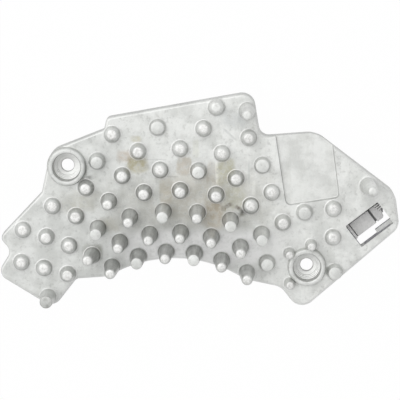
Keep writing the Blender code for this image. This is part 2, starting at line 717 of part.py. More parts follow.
def screw_mesh(head_radius, head_height, shank_radius, shank_length, slot_width, slot_depth):
    """A pan-head screw standing head down, its seat at level 0, with a cross slot."""
    mesh = bmesh.new()
    origin = Vector((0.0, 0.0))
    profile = [(head_radius * 0.72, -head_height), (head_radius, -head_height * 0.6), (head_radius, 0.0),
               (shank_radius, 0.0), (shank_radius, shank_length - shank_radius),
               (shank_radius * 0.4, shank_length)]
    add_turned(mesh, origin, profile, HOLE_SIDES)
    slots = bmesh.new()
    half = head_radius * 0.6
    width = slot_width / 2.0
    cross = [(-half, -width), (-width, -width), (-width, -half), (width, -half), (width, -width),
             (half, -width), (half, width), (width, width), (width, half), (-width, half),
             (-width, width), (-half, width)]
    corners = [(Vector(point), 0.0) for point in cross]
    add_prism(slots, corners, -head_height - slot_depth, -head_height + slot_depth)
    return mesh, slots


def cover_screws(parent):
    """Five screws from the back, through the cover's pillars into the casting's posts."""
    surface = material("zinc_steel", (0.55, 0.56, 0.58), 0.35, 1.0)
    level = SCREW_POCKET_DEPTH - CLEARANCE
    for number, place in enumerate(cover_screw_places(), 1):
        mesh, slots = screw_mesh(COVER_SCREW_HEAD, COVER_SCREW_HEAD_HEIGHT, COVER_SCREW_RADIUS,
                                 COVER_SCREW_LENGTH, SLOT_WIDTH, SLOT_DEPTH)
        shaped_at(f"cover_screw_{number}", mesh, slots, "DIFFERENCE", place, level, surface, parent)


def circuit_board(parent):
    """The board inside the cover, holed for the pillars and cut back behind the socket."""
    surface = material("circuit_board", (0.03, 0.14, 0.06), 0.5, 0.0)
    mesh = bmesh.new()
    outline = offset_corners(cover_corners(), COVER_WALL + BOARD_MARGIN)
    add_prism(mesh, outline, BOARD_LEVEL, BOARD_TOP_Z)
    board = new_object("circuit_board", mesh, surface, parent)
    mesh = bmesh.new()
    for place in cover_screw_places():
        radius = PILLAR_RADIUS + CLEARANCE
        add_turned(mesh, place, [(radius, BOARD_LEVEL - PASS), (radius, BOARD_TOP_Z + PASS)], HOLE_SIDES)
    cut_back = socket_back() - SOCKET_FLANGE_THICKNESS - CLEARANCE
    edge = window_block(-2.0 * BAY_HALF_WIDTH, 2.0 * BAY_HALF_WIDTH, cut_back, 0.0)
    add_prism(mesh, edge, BOARD_LEVEL - PASS, BOARD_TOP_Z + PASS)
    shape(board, new_object("board_cutter", mesh, parent=parent), "DIFFERENCE")


def socket_back():
    """How far back the socket's flange starts, just inside the cover's bay wall."""
    return bay_wall_place() - COVER_WALL - CLEARANCE


def connector_socket(parent):
    """The grey socket under the window: a box with its mouth outwards, a flange and a grooved top."""
    surface = material("grey_plastic", (0.36, 0.36, 0.34), 0.55, 0.0)
    half = SOCKET_LENGTH / 2.0
    start = SOCKET_SHIFT - half
    end = SOCKET_SHIFT + half
    back = socket_back()
    mesh = bmesh.new()
    body = window_block(start, end, back - SOCKET_FLANGE_THICKNESS, SOCKET_MOUTH)
    body[1] = (body[1][0], TAB_CORNER)
    add_prism(mesh, body, SOCKET_LOW, SOCKET_HIGH)
    socket = new_object("connector_socket", mesh, surface, parent)
    mesh = bmesh.new()
    flange = window_block(start - SOCKET_FLANGE, end + SOCKET_FLANGE, back - SOCKET_FLANGE_THICKNESS, back)
    add_prism(mesh, flange, SOCKET_LOW, SOCKET_HIGH + SOCKET_FLANGE)
    shape(socket, new_object("socket_flange", mesh, parent=parent), "UNION")
    mesh = bmesh.new()
    inside = window_block(start + SOCKET_WALL, end - SOCKET_WALL, SOCKET_MOUTH - SOCKET_DEPTH, SOCKET_MOUTH + PASS)
    add_prism(mesh, inside, SOCKET_LOW + SOCKET_WALL, SOCKET_HIGH - SOCKET_WALL)
    groove_end = end - GROOVE_FROM_END
    groove = window_block(groove_end - GROOVE_WIDTH, groove_end, -WINDOW_WIDTH / 2.0, SOCKET_MOUTH + PASS)
    add_prism(mesh, groove, SOCKET_HIGH - GROOVE_DEPTH, SOCKET_HIGH + PASS)
    shape(socket, new_object("socket_cutter", mesh, parent=parent), "DIFFERENCE")
    mesh = bmesh.new()
    for place in terminal_places():
        half = TERMINAL_WIDTH / 2.0 + CLEARANCE
        slot = window_block(place - half, place + half, back - SOCKET_FLANGE_THICKNESS - PASS,
                            SOCKET_MOUTH - SOCKET_DEPTH + PASS)
        add_prism(mesh, slot, ON_BOARD_Z - CLEARANCE, ON_BOARD_Z + TERMINAL_THICKNESS + CLEARANCE)
    shape(socket, new_object("terminal_slots", mesh, parent=parent), "DIFFERENCE")


def terminal_places():
    """Places of the terminals along the socket."""
    middle = (TERMINAL_COUNT - 1) / 2.0
    return [SOCKET_SHIFT + (number - middle) * TERMINAL_PITCH for number in range(TERMINAL_COUNT)]


def terminals(parent):
    """The socket's blades, with rounded tips in the mouth and tails on the board."""
    surface = material("tinned_brass", (0.72, 0.70, 0.62), 0.3, 1.0)
    tip = SOCKET_MOUTH - SOCKET_DEPTH + TERMINAL_REACH
    tail = socket_back() - SOCKET_FLANGE_THICKNESS - CLEARANCE - TERMINAL_TAIL
    half = TERMINAL_WIDTH / 2.0
    for number, place in enumerate(terminal_places(), 1):
        blade = window_block(place - half, place + half, tail, tip)
        blade[0] = (blade[0][0], half * 0.7)
        blade[1] = (blade[1][0], half * 0.7)
        mesh = bmesh.new()
        add_prism(mesh, blade, ON_BOARD_Z, ON_BOARD_Z + TERMINAL_THICKNESS)
        new_object(f"terminal_{number}", mesh, surface, parent)


def add_strip(mesh, path, thickness, left, right):
    """Add a bent strip: its path in y and z, thickened to both sides and run across x."""
    sides = []
    for side in (1.0, -1.0):
        edge = []
        for index, point in enumerate(path):
            before = (point - path[index - 1]).normalized() if index else None
            after = (path[index + 1] - point).normalized() if index + 1 < len(path) else None
            ways = [Vector((-way.y, way.x)) for way in (before, after) if way]
            total = ways[0] + ways[-1]
            edge.append(point + total * side * thickness / 2.0 / (1.0 + ways[0].dot(ways[-1])))
        sides.append(edge)
    outline = sides[0] + sides[1][::-1]
    loops = [[Vector((x, point.x, point.y)) for point in outline] for x in (left, right)]
    add_loft(mesh, loops)


def power_transistors(parent):
    """Two flat moulded transistors, face up on their films, their legs bent down to the board."""
    surface = material("transistor_case", (0.03, 0.03, 0.035), 0.45, 0.0)
    length = TRANSISTOR_LENGTH / 2.0
    leg_level = (TRANSISTOR_LOW_Z + TRANSISTOR_TOP_Z) / 2.0
    for number, place in enumerate(transistor_places(), 1):
        body = bmesh.new()
        levels = [(TRANSISTOR_BEVEL, TRANSISTOR_LOW_Z), (0.0, TRANSISTOR_LOW_Z + TRANSISTOR_BEVEL),
                  (0.0, TRANSISTOR_TOP_Z)]
        case = block_corners(Vector((0.0, 0.0)), TRANSISTOR_WIDTH / 2.0, length)
        add_loft(body, [at_level(rounded(offset_corners(case, inset)), level) for inset, level in levels])
        legs = bmesh.new()
        bend = -length - LEG_RUN
        path = [Vector((-length + PASS, leg_level)), Vector((bend, leg_level)),
                Vector((bend, ON_BOARD_Z + LEG_THICKNESS / 2.0)),
                Vector((bend - LEG_FOOT, ON_BOARD_Z + LEG_THICKNESS / 2.0))]
        for leg in (-1, 0, 1):
            middle = leg * LEG_PITCH
            add_strip(legs, path, LEG_THICKNESS, middle - LEG_WIDTH / 2.0, middle + LEG_WIDTH / 2.0)
        name = f"power_transistor_{number}"
        shaped_at(name, body, legs, "UNION", place, 0.0, surface, parent)


def insulating_films(parent):
    """The films between the transistors and the casting's pads."""
    surface = material("insulating_film", (0.55, 0.50, 0.42), 0.6, 0.0)
    half_width = (TRANSISTOR_WIDTH + PAD_MARGIN) / 2.0
    half_length = (TRANSISTOR_LENGTH + PAD_MARGIN) / 2.0
    for number, place in enumerate(transistor_places(), 1):
        mesh = bmesh.new()
        add_prism(mesh, block_corners(place, half_width, half_length), FILM_Z, FILM_Z + FILM_THICKNESS)
        new_object(f"insulating_film_{number}", mesh, surface, parent)


def spring_clips(parent):
    """The bent strips that press the transistors on, with a hole for the clip's screw."""
    surface = material("spring_steel", (0.50, 0.50, 0.50), 0.3, 1.0)
    post_way = CLIP_POST_Y - TRANSISTOR_Y
    level = CLIP_TOP_Z - CLIP_THICKNESS / 2.0
    for number, place in enumerate(transistor_places(), 1):
        body = bmesh.new()
        path = [Vector((-2.0 * CLIP_CURL, level - CLIP_CURL)), Vector((0.0, level)),
                Vector((post_way + CLIP_POST_RADIUS, level))]
        add_strip(body, path, CLIP_THICKNESS, -CLIP_WIDTH / 2.0, CLIP_WIDTH / 2.0)
        hole = bmesh.new()
        radius = CLIP_SCREW_RADIUS + CLEARANCE
        profile = [(radius, CLIP_LOW_Z - PASS), (radius, CLIP_TOP_Z + PASS)]
        add_turned(hole, Vector((0.0, post_way)), profile, HOLE_SIDES)
        name = f"spring_clip_{number}"
        shaped_at(name, body, hole, "DIFFERENCE", place, 0.0, surface, parent)


def clip_screws(parent):
    """The screws that hold the clips to their posts."""
    surface = material("zinc_steel", (0.55, 0.56, 0.58), 0.35, 1.0)
    level = CLIP_LOW_Z - CLEARANCE
    for number, place in enumerate(transistor_places(), 1):
        mesh, slots = screw_mesh(CLIP_SCREW_HEAD, CLIP_SCREW_HEAD_HEIGHT, CLIP_SCREW_RADIUS,
                                 CLIP_SCREW_LENGTH, SLOT_WIDTH, SLOT_DEPTH)
        shaped_at(f"clip_screw_{number}", mesh, slots, "DIFFERENCE", clip_post_place(place), level, surface, parent)


def shunt_resistor(parent):
    """A bridge of bent resistance strip that carries the motor's current."""
    surface = material("resistance_strip", (0.45, 0.36, 0.28), 0.35, 1.0)
    length, width, height = SHUNT_SIZE
    foot = ON_BOARD_Z + SHUNT_STRIP / 2.0
    path = [Vector((-length / 2.0, foot)), Vector((-length / 4.0, foot)),
            Vector((-length / 4.0, foot + height)), Vector((length / 4.0, foot + height)),
            Vector((length / 4.0, foot)), Vector((length / 2.0, foot))]
    mesh = bmesh.new()
    add_strip(mesh, path, SHUNT_STRIP, -width / 2.0, width / 2.0)
    shunt = new_object("shunt_resistor", mesh, surface, parent)
    shunt.location = (*place_from(0.0, SHUNT_PLACE), 0.0)
    shunt.rotation_euler = (0.0, 0.0, math.radians(90.0))


def filter_capacitor(parent):
    """The can capacitor, with its crimped waist and turned-over top edge."""
    surface = material("capacitor_sleeve", (0.05, 0.06, 0.10), 0.35, 0.0)
    radius = CAPACITOR_RADIUS
    low = ON_BOARD_Z
    top = low + CAPACITOR_HEIGHT
    crimp = CAPACITOR_CRIMP
    waist = low + 4.0 * crimp
    profile = [(radius - crimp, low), (radius, low + crimp), (radius, waist - crimp), (radius - crimp, waist),
               (radius, waist + crimp), (radius, top - crimp), (radius - crimp, top)]
    mesh = bmesh.new()
    add_turned(mesh, place_from(0.0, CAPACITOR_PLACE), profile, HOLE_SIDES)
    new_object("filter_capacitor", mesh, surface, parent)


def film_capacitor(parent):
    """The box capacitor, its top edges eased."""
    surface = material("capacitor_box", (0.55, 0.12, 0.04), 0.5, 0.0)
    length, width, height = FILM_CAPACITOR_SIZE
    ease = 0.08 * width
    case = block_corners(place_from(0.0, FILM_CAPACITOR_PLACE), length / 2.0, width / 2.0)
    levels = [(0.0, ON_BOARD_Z), (0.0, ON_BOARD_Z + height - ease), (ease, ON_BOARD_Z + height)]
    mesh = bmesh.new()
    add_loft(mesh, [at_level(rounded(offset_corners(case, inset)), level) for inset, level in levels])
    new_object("film_capacitor", mesh, surface, parent)


def control_ic(parent):
    """The control circuit with its two rows of bent leads."""
    surface = material("transistor_case", (0.03, 0.03, 0.035), 0.45, 0.0)
    length, width, height = CONTROL_IC_SIZE
    low = ON_BOARD_Z + CLEARANCE
    body = bmesh.new()
    case = block_corners(Vector((0.0, 0.0)), length / 2.0, width / 2.0)
    ease = 0.1 * height
    levels = [(ease, low), (0.0, low + height / 2.0), (ease, low + height)]
    add_loft(body, [at_level(rounded(offset_corners(case, inset)), level) for inset, level in levels])
    leads = bmesh.new()
    pitch = length / (CONTROL_IC_LEADS + 0.5)
    foot = ON_BOARD_Z + LEAD_THICKNESS / 2.0
    knee = width / 2.0 + LEAD_KNEE
    for number in range(CONTROL_IC_LEADS):
        middle = (number - (CONTROL_IC_LEADS - 1) / 2.0) * pitch
        for side in (-1.0, 1.0):
            path = [Vector((side * (width / 2.0 - LEAD_KNEE), low + height / 2.0)),
                    Vector((side * knee, low + height / 2.0)), Vector((side * knee, foot)),
                    Vector((side * (knee + LEAD_FOOT), foot))]
            add_strip(leads, path, LEAD_THICKNESS, middle - pitch / 6.0, middle + pitch / 6.0)
    shaped_at("control_ic", body, leads, "UNION", place_from(0.0, CONTROL_IC_PLACE), 0.0, surface, parent)


def temperature_sensor(parent):
    """The D-shaped sensor that stands between the transistors."""
    surface = material("transistor_case", (0.03, 0.03, 0.035), 0.45, 0.0)
    length, width, height = SENSOR_SIZE
    middle = Vector((TRANSISTOR_MIDDLE, TRANSISTOR_Y + SENSOR_ABOVE_MIDDLE))
    case = block_corners(middle, length / 2.0, width / 2.0)
    case[2] = (case[2][0], width * 0.6)
    case[3] = (case[3][0], width * 0.6)
    mesh = bmesh.new()
    add_prism(mesh, case, ON_BOARD_Z, ON_BOARD_Z + height)
    new_object("temperature_sensor", mesh, surface, parent)


def build():
    """Make every piece in the drawing's frame, then centre the frame over the casting's outline."""
    remove_everything()
    frame = bpy.data.objects.new("regulator", None)
    bpy.context.collection.objects.link(frame)
    outline = rounded(casting_corners())
    middle_x = (min(point.x for point in outline) + max(point.x for point in outline)) / 2.0
    middle_y = (min(point.y for point in outline) + max(point.y for point in outline)) / 2.0
    frame.location = (-middle_x, -middle_y, 0.0)
    heat_sink(frame)
    rear_cover(frame)
    cover_seal(frame)
    cover_screws(frame)
    circuit_board(frame)
    connector_socket(frame)
    terminals(frame)
    power_transistors(frame)
    insulating_films(frame)
    spring_clips(frame)
    clip_screws(frame)
    shunt_resistor(frame)
    filter_capacitor(frame)
    film_capacitor(frame)
    control_ic(frame)
    temperature_sensor(frame)


build()
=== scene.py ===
import math

import bmesh
import bpy
from mathutils import Matrix, Vector


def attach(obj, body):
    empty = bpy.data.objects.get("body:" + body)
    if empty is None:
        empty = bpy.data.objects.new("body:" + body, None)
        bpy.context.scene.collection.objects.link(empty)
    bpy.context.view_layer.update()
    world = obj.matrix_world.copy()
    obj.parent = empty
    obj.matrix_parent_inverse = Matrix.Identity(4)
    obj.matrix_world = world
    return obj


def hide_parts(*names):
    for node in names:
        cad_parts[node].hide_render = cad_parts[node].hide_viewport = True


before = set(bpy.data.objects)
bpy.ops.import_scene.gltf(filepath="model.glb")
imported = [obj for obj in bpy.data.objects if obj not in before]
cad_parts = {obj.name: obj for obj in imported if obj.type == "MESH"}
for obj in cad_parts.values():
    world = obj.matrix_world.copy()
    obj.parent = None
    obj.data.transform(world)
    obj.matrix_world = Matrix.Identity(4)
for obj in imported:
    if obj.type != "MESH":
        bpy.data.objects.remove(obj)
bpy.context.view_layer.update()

MM = 0.001

# Studio: a pale floor under the part, one broad lamp over the pins and a weak even sky, and the camera
# about a metre above, leaning a little to the side away from the arc edge.


class Signal:
    """One socket of a material, with sums written as in Python."""

    def __init__(self, finish, socket):
        self.finish = finish
        self.socket = socket

    def sum(self, operation, first, second):
        return self.finish.put("ShaderNodeMath", {"operation": operation}, {0: first, 1: second})

    def __add__(self, other):
        return self.sum("ADD", self, other)

    def __radd__(self, other):
        return self.sum("ADD", other, self)

    def __sub__(self, other):
        return self.sum("SUBTRACT", self, other)

    def __rsub__(self, other):
        return self.sum("SUBTRACT", other, self)

    def __mul__(self, other):
        return self.sum("MULTIPLY", self, other)

    def __rmul__(self, other):
        return self.sum("MULTIPLY", other, self)

    def __pow__(self, other):
        return self.sum("POWER", self, other)

    def most(self, other):
        return self.sum("MAXIMUM", self, other)

    def least(self, other):
        return self.sum("MINIMUM", self, other)

    def ramp(self, low, high):
        """0 below the low value, 1 above the high one, smooth between. Turned round if low is higher."""
        ends = {1: low, 2: high, 3: 0.0, 4: 1.0}
        if low > high:
            ends = {1: high, 2: low, 3: 1.0, 4: 0.0}
        settings = {"interpolation_type": "SMOOTHSTEP"}
        return self.finish.put("ShaderNodeMapRange", settings, {0: self, **ends})


class Finish:
    """A node material under a plain name."""

    def __init__(self, name, metallic=0.0, roughness=0.5):
        self.material = bpy.data.materials.new(name)
        self.material.use_nodes = True
        self.tree = self.material.node_tree
        self.surface = self.tree.nodes["Principled BSDF"]
        self.surface.inputs["Metallic"].default_value = metallic
        self.surface.inputs["Roughness"].default_value = roughness

    def put(self, kind, settings, inputs, output=0):
        node = self.tree.nodes.new(kind)
        for key, value in settings.items():
            setattr(node, key, value)
        for key, value in inputs.items():
            if isinstance(value, Signal):
                self.tree.links.new(value.socket, node.inputs[key])
            else:
                node.inputs[key].default_value = value
        return Signal(self, node.outputs[output])

    def place(self):
        return self.put("ShaderNodeTexCoord", {}, {}, "Object")

    def noise(self, per_metre, detail=3.0, rough=0.5, stretch=None):
        """Cloudy noise between 0 and 1 on the piece's own coordinates."""
        where = self.place()
        if stretch:
            where = self.put("ShaderNodeVectorMath", {"operation": "MULTIPLY"}, {0: where, 1: stretch})
        return self.put("ShaderNodeTexNoise", {}, {"Vector": where, "Scale": per_metre, "Detail": detail,
                                                   "Roughness": rough}, "Fac")

    def blend(self, share, first, second, mode="MIX"):
        """Two colours mixed by a share."""
        settings = {"data_type": "RGBA", "blend_type": mode}
        first, second = [(*c, 1.0) if isinstance(c, tuple) else c for c in (first, second)]
        return self.put("ShaderNodeMix", settings, {0: share, 6: first, 7: second}, 2)

    def reach(self, x, y, length, width, angle=0.0, power=4):
        """0 in the middle of a place and 1 on its edge: round for power 2, square for power 0."""
        around = {"Vector": self.place(), "Location": (x * MM, y * MM, 0.0),
                  "Rotation": (0.0, 0.0, math.radians(angle)), "Scale": (length * MM, width * MM, 1.0)}
        near = self.put("ShaderNodeMapping", {"vector_type": "TEXTURE"}, around)
        if power == 0:
            sides = self.put("ShaderNodeVectorMath", {"operation": "ABSOLUTE"}, {0: near})
            parts = self.put("ShaderNodeSeparateXYZ", {}, {0: sides}).socket.node.outputs
            return Signal(self, parts[0]).most(Signal(self, parts[1]))
        squares = self.put("ShaderNodeVectorMath", {"operation": "MULTIPLY"}, {0: near, 1: near})
        flat = self.put("ShaderNodeVectorMath", {"operation": "MULTIPLY"}, {0: squares, 1: (1.0, 1.0, 0.0)})
        other = squares if power == 4 else (1.0, 1.0, 0.0)
        whole = self.put("ShaderNodeVectorMath", {"operation": "DOT_PRODUCT"}, {0: flat, 1: other}, 1)
        return whole ** (1.0 / power)

    def give(self, socket, signal):
        self.tree.links.new(signal.socket, self.surface.inputs[socket])

    def bump(self, height, depth, strength=1.0):
        """Lift the surface by a height from 0 to 1, as deep as given in metres."""
        self.give("Normal", self.put("ShaderNodeBump", {}, {"Height": height, "Distance": depth,
                                                            "Strength": strength}))


FLOOR_SIZE = 3.0
FLOOR_DROP = 0.05 * MM
FLOOR_COLOUR = (0.86, 0.86, 0.86)
FLOOR_GLOW = 0.985

floor_mesh = bmesh.new()
bmesh.ops.create_grid(floor_mesh, x_segments=1, y_segments=1, size=FLOOR_SIZE / 2.0)
bmesh.ops.translate(floor_mesh, vec=(0.0, 0.0, -FLOOR_DROP), verts=floor_mesh.verts)
floor_data = bpy.data.meshes.new("floor")
floor_mesh.to_mesh(floor_data)
floor = bpy.data.objects.new("floor", floor_data)
bpy.context.collection.objects.link(floor)
pale = Finish("pale_floor", roughness=0.8)
pale.surface.inputs["Base Color"].default_value = (*FLOOR_COLOUR, 1.0)
ray = pale.tree.nodes.new("ShaderNodeLightPath")
seen = Signal(pale, ray.outputs["Is Camera Ray"]).most(Signal(pale, ray.outputs["Is Glossy Ray"]))
seen = seen.most(Signal(pale, ray.outputs["Is Transmission Ray"]))
glow = pale.put("ShaderNodeEmission", {}, {"Color": (1.0, 1.0, 1.0, 1.0), "Strength": 1.0})
plain = Signal(pale, pale.surface.outputs[0])
both = pale.put("ShaderNodeMixShader", {}, {0: seen * FLOOR_GLOW, 1: plain, 2: glow})
pale.tree.links.new(both.socket, pale.tree.nodes["Material Output"].inputs["Surface"])
floor_data.materials.append(pale.material)

SKY_LEVEL = 0.58
sky = bpy.data.worlds.new("even_sky")
sky.use_nodes = True
sky.node_tree.nodes["Background"].inputs["Color"].default_value = (1.0, 1.0, 1.0, 1.0)
sky.node_tree.nodes["Background"].inputs["Strength"].default_value = SKY_LEVEL
bpy.context.scene.world = sky

LAMP_PLACE = (-0.5, 0.42, 1.2)
LAMP_SIZE = 1.7
LAMP_POWER = 10.9
lamp_data = bpy.data.lights.new("broad_lamp", "AREA")
lamp_data.shape = "DISK"
lamp_data.size = LAMP_SIZE
lamp_data.energy = LAMP_POWER
lamp = bpy.data.objects.new("broad_lamp", lamp_data)
lamp.location = LAMP_PLACE
lamp.rotation_euler = (-lamp.location).to_track_quat("-Z", "Y").to_euler()
bpy.context.collection.objects.link(lamp)

AIM = Vector((0.318, 0.088, 20.0)) * MM
STAND = Vector((14.4, 137.4, 1040.9)) * MM
LENS = 227.7
camera_data = bpy.data.cameras.new("camera")
camera_data.sensor_width = 36.0
camera_data.lens = LENS
camera_data.clip_start = 0.05
camera = bpy.data.objects.new("camera", camera_data)
looking = -STAND.normalized()
right_way = looking.cross(Vector((0.0, 1.0, 0.0))).normalized()
up_way = right_way.cross(looking)
turn = Matrix((right_way, up_way, -looking)).transposed().to_4x4()
camera.matrix_world = Matrix.Translation(AIM + STAND) @ turn
bpy.context.collection.objects.link(camera)
bpy.context.scene.camera = camera
bpy.context.scene.view_settings.view_transform = "Standard"

# Rear cover: a black glass-filled moulding that closes the electronics, with the fine spark-eroded
# grain of its mould on the outside.
grain = Finish("black_moulding", roughness=0.5)
speck = grain.noise(5200.0, 2.0)
cloud = grain.noise(90.0, 3.0)
grain.give("Base Color", grain.blend(cloud.ramp(0.35, 0.75), (0.017, 0.017, 0.019), (0.030, 0.030, 0.031)))
grain.give("Roughness", 0.42 + speck * 0.2)
grain.bump(speck, 0.06 * MM)
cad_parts["rear_cover"].material_slots[0].material = grain.material

# Gasket: a black rubber strip in one closed ring, moulded to the cover's outline, and pressed between
# the cover's rim and the casting.
rubber = Finish("gasket_rubber", roughness=0.8)
dust = rubber.noise(1400.0, 3.0)
rubber.give("Base Color", rubber.blend(dust.ramp(0.45, 0.7), (0.018, 0.018, 0.018), (0.05, 0.05, 0.048)))
rubber.bump(dust, 0.03 * MM)
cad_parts["cover_seal"].material_slots[0].material = rubber.material

# Screws: zinc-plated steel with a cross slot. Five go through the cover into posts of the casting, and
# two hold the spring clips.
zinc = Finish("zinc_plating", metallic=1.0, roughness=0.35)
patch = zinc.noise(900.0, 4.0, 0.6)
zinc.give("Base Color", zinc.blend(patch.ramp(0.3, 0.7), (0.50, 0.51, 0.52), (0.66, 0.66, 0.64)))
zinc.give("Roughness", 0.26 + patch * 0.22)
for name in [f"cover_screw_{number}" for number in range(1, 6)] + ["clip_screw_1", "clip_screw_2"]:
    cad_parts[name].material_slots[0].material = zinc.material

# Circuit board: glass cloth and resin under copper and a green solder mask, with a faint weave of the
# cloth showing. It is cut to fit inside the cover, and carries the parts that follow.
mask = Finish("solder_mask", roughness=0.35)
weave = mask.noise(1500.0, 2.0, stretch=(1.0, 0.3, 1.0))
mask.give("Base Color", mask.blend(weave.ramp(0.35, 0.65), (0.012, 0.085, 0.030), (0.020, 0.130, 0.045)))
mask.bump(weave, 0.02 * MM)
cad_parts["circuit_board"].material_slots[0].material = mask.material

# Parts on the board: moulded black cases, a sleeved can, a dipped box, a bent resistance strip and the
# spring clips that press the transistors on their films.
case = Finish("moulded_case", roughness=0.5)
fleck = case.noise(3000.0, 2.0)
case.give("Base Color", case.blend(fleck.ramp(0.3, 0.8), (0.020, 0.020, 0.022), (0.040, 0.040, 0.042)))
case.bump(fleck, 0.03 * MM)
for name in ("power_transistor_1", "power_transistor_2", "control_ic", "temperature_sensor"):
    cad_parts[name].material_slots[0].material = case.material
film = Finish("heat_film", roughness=0.6)
haze = film.noise(700.0, 3.0)
film.give("Base Color", film.blend(haze.ramp(0.3, 0.7), (0.48, 0.42, 0.33), (0.58, 0.53, 0.44)))
for name in ("insulating_film_1", "insulating_film_2"):
    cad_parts[name].material_slots[0].material = film.material
spring = Finish("spring_steel", metallic=1.0, roughness=0.3)
roll = spring.noise(1200.0, 3.0, stretch=(1.0, 0.1, 1.0))
spring.give("Base Color", spring.blend(roll.ramp(0.3, 0.7), (0.42, 0.42, 0.43), (0.58, 0.58, 0.57)))
spring.give("Roughness", 0.22 + roll * 0.2)
for name in ("spring_clip_1", "spring_clip_2"):
    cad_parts[name].material_slots[0].material = spring.material
strip = Finish("resistance_strip", metallic=1.0, roughness=0.35)
heat = strip.noise(500.0, 3.0)
strip.give("Base Color", strip.blend(heat.ramp(0.35, 0.65), (0.40, 0.31, 0.23), (0.50, 0.42, 0.33)))
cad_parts["shunt_resistor"].material_slots[0].material = strip.material
sleeve = Finish("can_sleeve", roughness=0.3)
wrap = sleeve.noise(400.0, 2.0)
sleeve.give("Base Color", sleeve.blend(wrap.ramp(0.3, 0.7), (0.035, 0.045, 0.085), (0.055, 0.065, 0.11)))
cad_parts["filter_capacitor"].material_slots[0].material = sleeve.material
dip = Finish("dipped_box", roughness=0.35)
skin = dip.noise(600.0, 2.0)
dip.give("Base Color", dip.blend(skin.ramp(0.3, 0.7), (0.50, 0.10, 0.03), (0.60, 0.15, 0.05)))
dip.bump(skin, 0.05 * MM)
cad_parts["film_capacitor"].material_slots[0].material = dip.material

# Terminals: tin-plated brass blades, stamped from sheet and pressed into the socket, for supply, motor,
# ground and control.
tin = Finish("tin_plating", metallic=1.0, roughness=0.3)
smear = tin.noise(1500.0, 3.0)
tin.give("Base Color", tin.blend(smear.ramp(0.3, 0.7), (0.68, 0.66, 0.60), (0.78, 0.77, 0.72)))
tin.give("Roughness", 0.24 + smear * 0.15)
for number in range(1, 5):
    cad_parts[f"terminal_{number}"].material_slots[0].material = tin.material

# Connector socket: grey glass-filled moulding under the window, with flow marks from the mould. Its top
# shows a groove and a round-ended tab, and its mouth opens under the casting's lower right edge.
WINDOW_MIDDLE = Vector((70.718, -10.112)) * MM
WINDOW_TURN = math.radians(37.5)
SOCKET_LENGTH = 13.8 * MM
SOCKET_SHIFT = -0.3 * MM
SOCKET_LOW = 2.3 * MM
SOCKET_HIGH = 11.7 * MM
SOCKET_MOUTH = 2.3 * MM
SOCKET_BACK = -11.65 * MM
SOCKET_FLANGE_FRONT = -10.15 * MM
SOCKET_FLANGE = 0.8 * MM
SOCKET_DEPTH = 10.3 * MM
SOCKET_WALL = 1.4 * MM
SOCKET_ROOF = 1.3 * MM
SOCKET_ROUND = 0.3 * MM
GROOVE = (2.4 * MM, 3.2 * MM)
GROOVE_DEPTH = 2.2 * MM
END_RIB = (-8.2 * MM, -7.35 * MM)
END_RIB_BACK = -5.4 * MM
LOCK_RIB_START = 5.1
LOCK_RIB_END = 8.2
LOCK_RIB_WIDTH = 0.45
LOCK_RIB_SLANT = 0.5
# lower and upper levels; the lower ones differ, so that no two faces lie in one plane
END_RIB_LEVELS = (8.0 * MM, 14.5 * MM)
WEB_LEVELS = (8.2 * MM, 10.4 * MM)
BLOCK_LEVELS = (8.1 * MM, 12.0 * MM)
LOCK_RIB_LEVELS = (8.3 * MM, 15.5 * MM)
# places along and out from the window's middle, in millimetres, and the tab's corner radii
TAB = [(3.2, -5.4), (4.9, -4.9), (6.15, -2.5), (6.7, -0.4), (6.7, 2.3), (3.2, 2.3)]
TAB_ROUNDS = [0.0, 0.6, 1.2, 1.0, 1.9, 0.0]
BLOCK = [(4.0, -5.5), (8.3, -5.5), (8.3, -1.2), (7.4, 0.3), (6.8, 0.3), (6.5, -2.4), (5.1, -5.1), (4.0, -5.1)]
LOCK_RIBS = [-5.3, -4.35, -3.4, -2.45]
SHARP_ANGLE = math.radians(35.0)
SIDE_SHARE = 0.48
# how far a cutting piece stands past the surface that it opens
PAST = 1.0 * MM


def by_window(along, out):
    """A place in the window's own directions: along its length, and out of the socket's mouth."""
    length_way = Vector((math.cos(WINDOW_TURN), math.sin(WINDOW_TURN)))
    mouth_way = Vector((math.sin(WINDOW_TURN), -math.cos(WINDOW_TURN)))
    return WINDOW_MIDDLE + length_way * along + mouth_way * out


def round_corner(mesh, vert, radius, segments, room):
    """Round one corner of a flat face to a radius, as far as its sides have room."""
    ways = [edge.other_vert(vert).co - vert.co for edge in vert.link_edges]
    bend = math.pi - ways[0].angle(ways[1])
    bmesh.ops.bevel(mesh, geom=[vert], offset=min(radius * math.tan(bend / 2.0), room), offset_type="OFFSET",
                    segments=segments, profile=0.5, affect="VERTICES", clamp_overlap=False, material=-1)


def plate_of(corners, low, high, segments=6):
    """A flat-sided body from corners of x, y and radius, in metres, between two levels."""
    mesh = bmesh.new()
    verts = [mesh.verts.new((x, y, low)) for x, y, radius in corners]
    mesh.faces.new(verts)
    sides = [(verts[i - 1].co - verts[i].co).length for i in range(len(verts))]
    sides.append(sides[0])
    for index, (x, y, radius) in enumerate(corners):
        if radius > 0.0:
            room = SIDE_SHARE * min(sides[index], sides[index + 1])
            round_corner(mesh, verts[index], radius, segments, room)
    grown = bmesh.ops.extrude_face_region(mesh, geom=mesh.faces[:], use_keep_orig=True)
    lifted = [item for item in grown["geom"] if isinstance(item, bmesh.types.BMVert)]
    bmesh.ops.translate(mesh, vec=(0.0, 0.0, high - low), verts=lifted)
    bmesh.ops.recalc_face_normals(mesh, faces=mesh.faces)
    return mesh


def window_corners(along_from, along_to, out_from, out_to, radius=0.0):
    places = [(along_from, out_to), (along_to, out_to), (along_to, out_from), (along_from, out_from)]
    return [(*by_window(along, out), radius) for along, out in places]


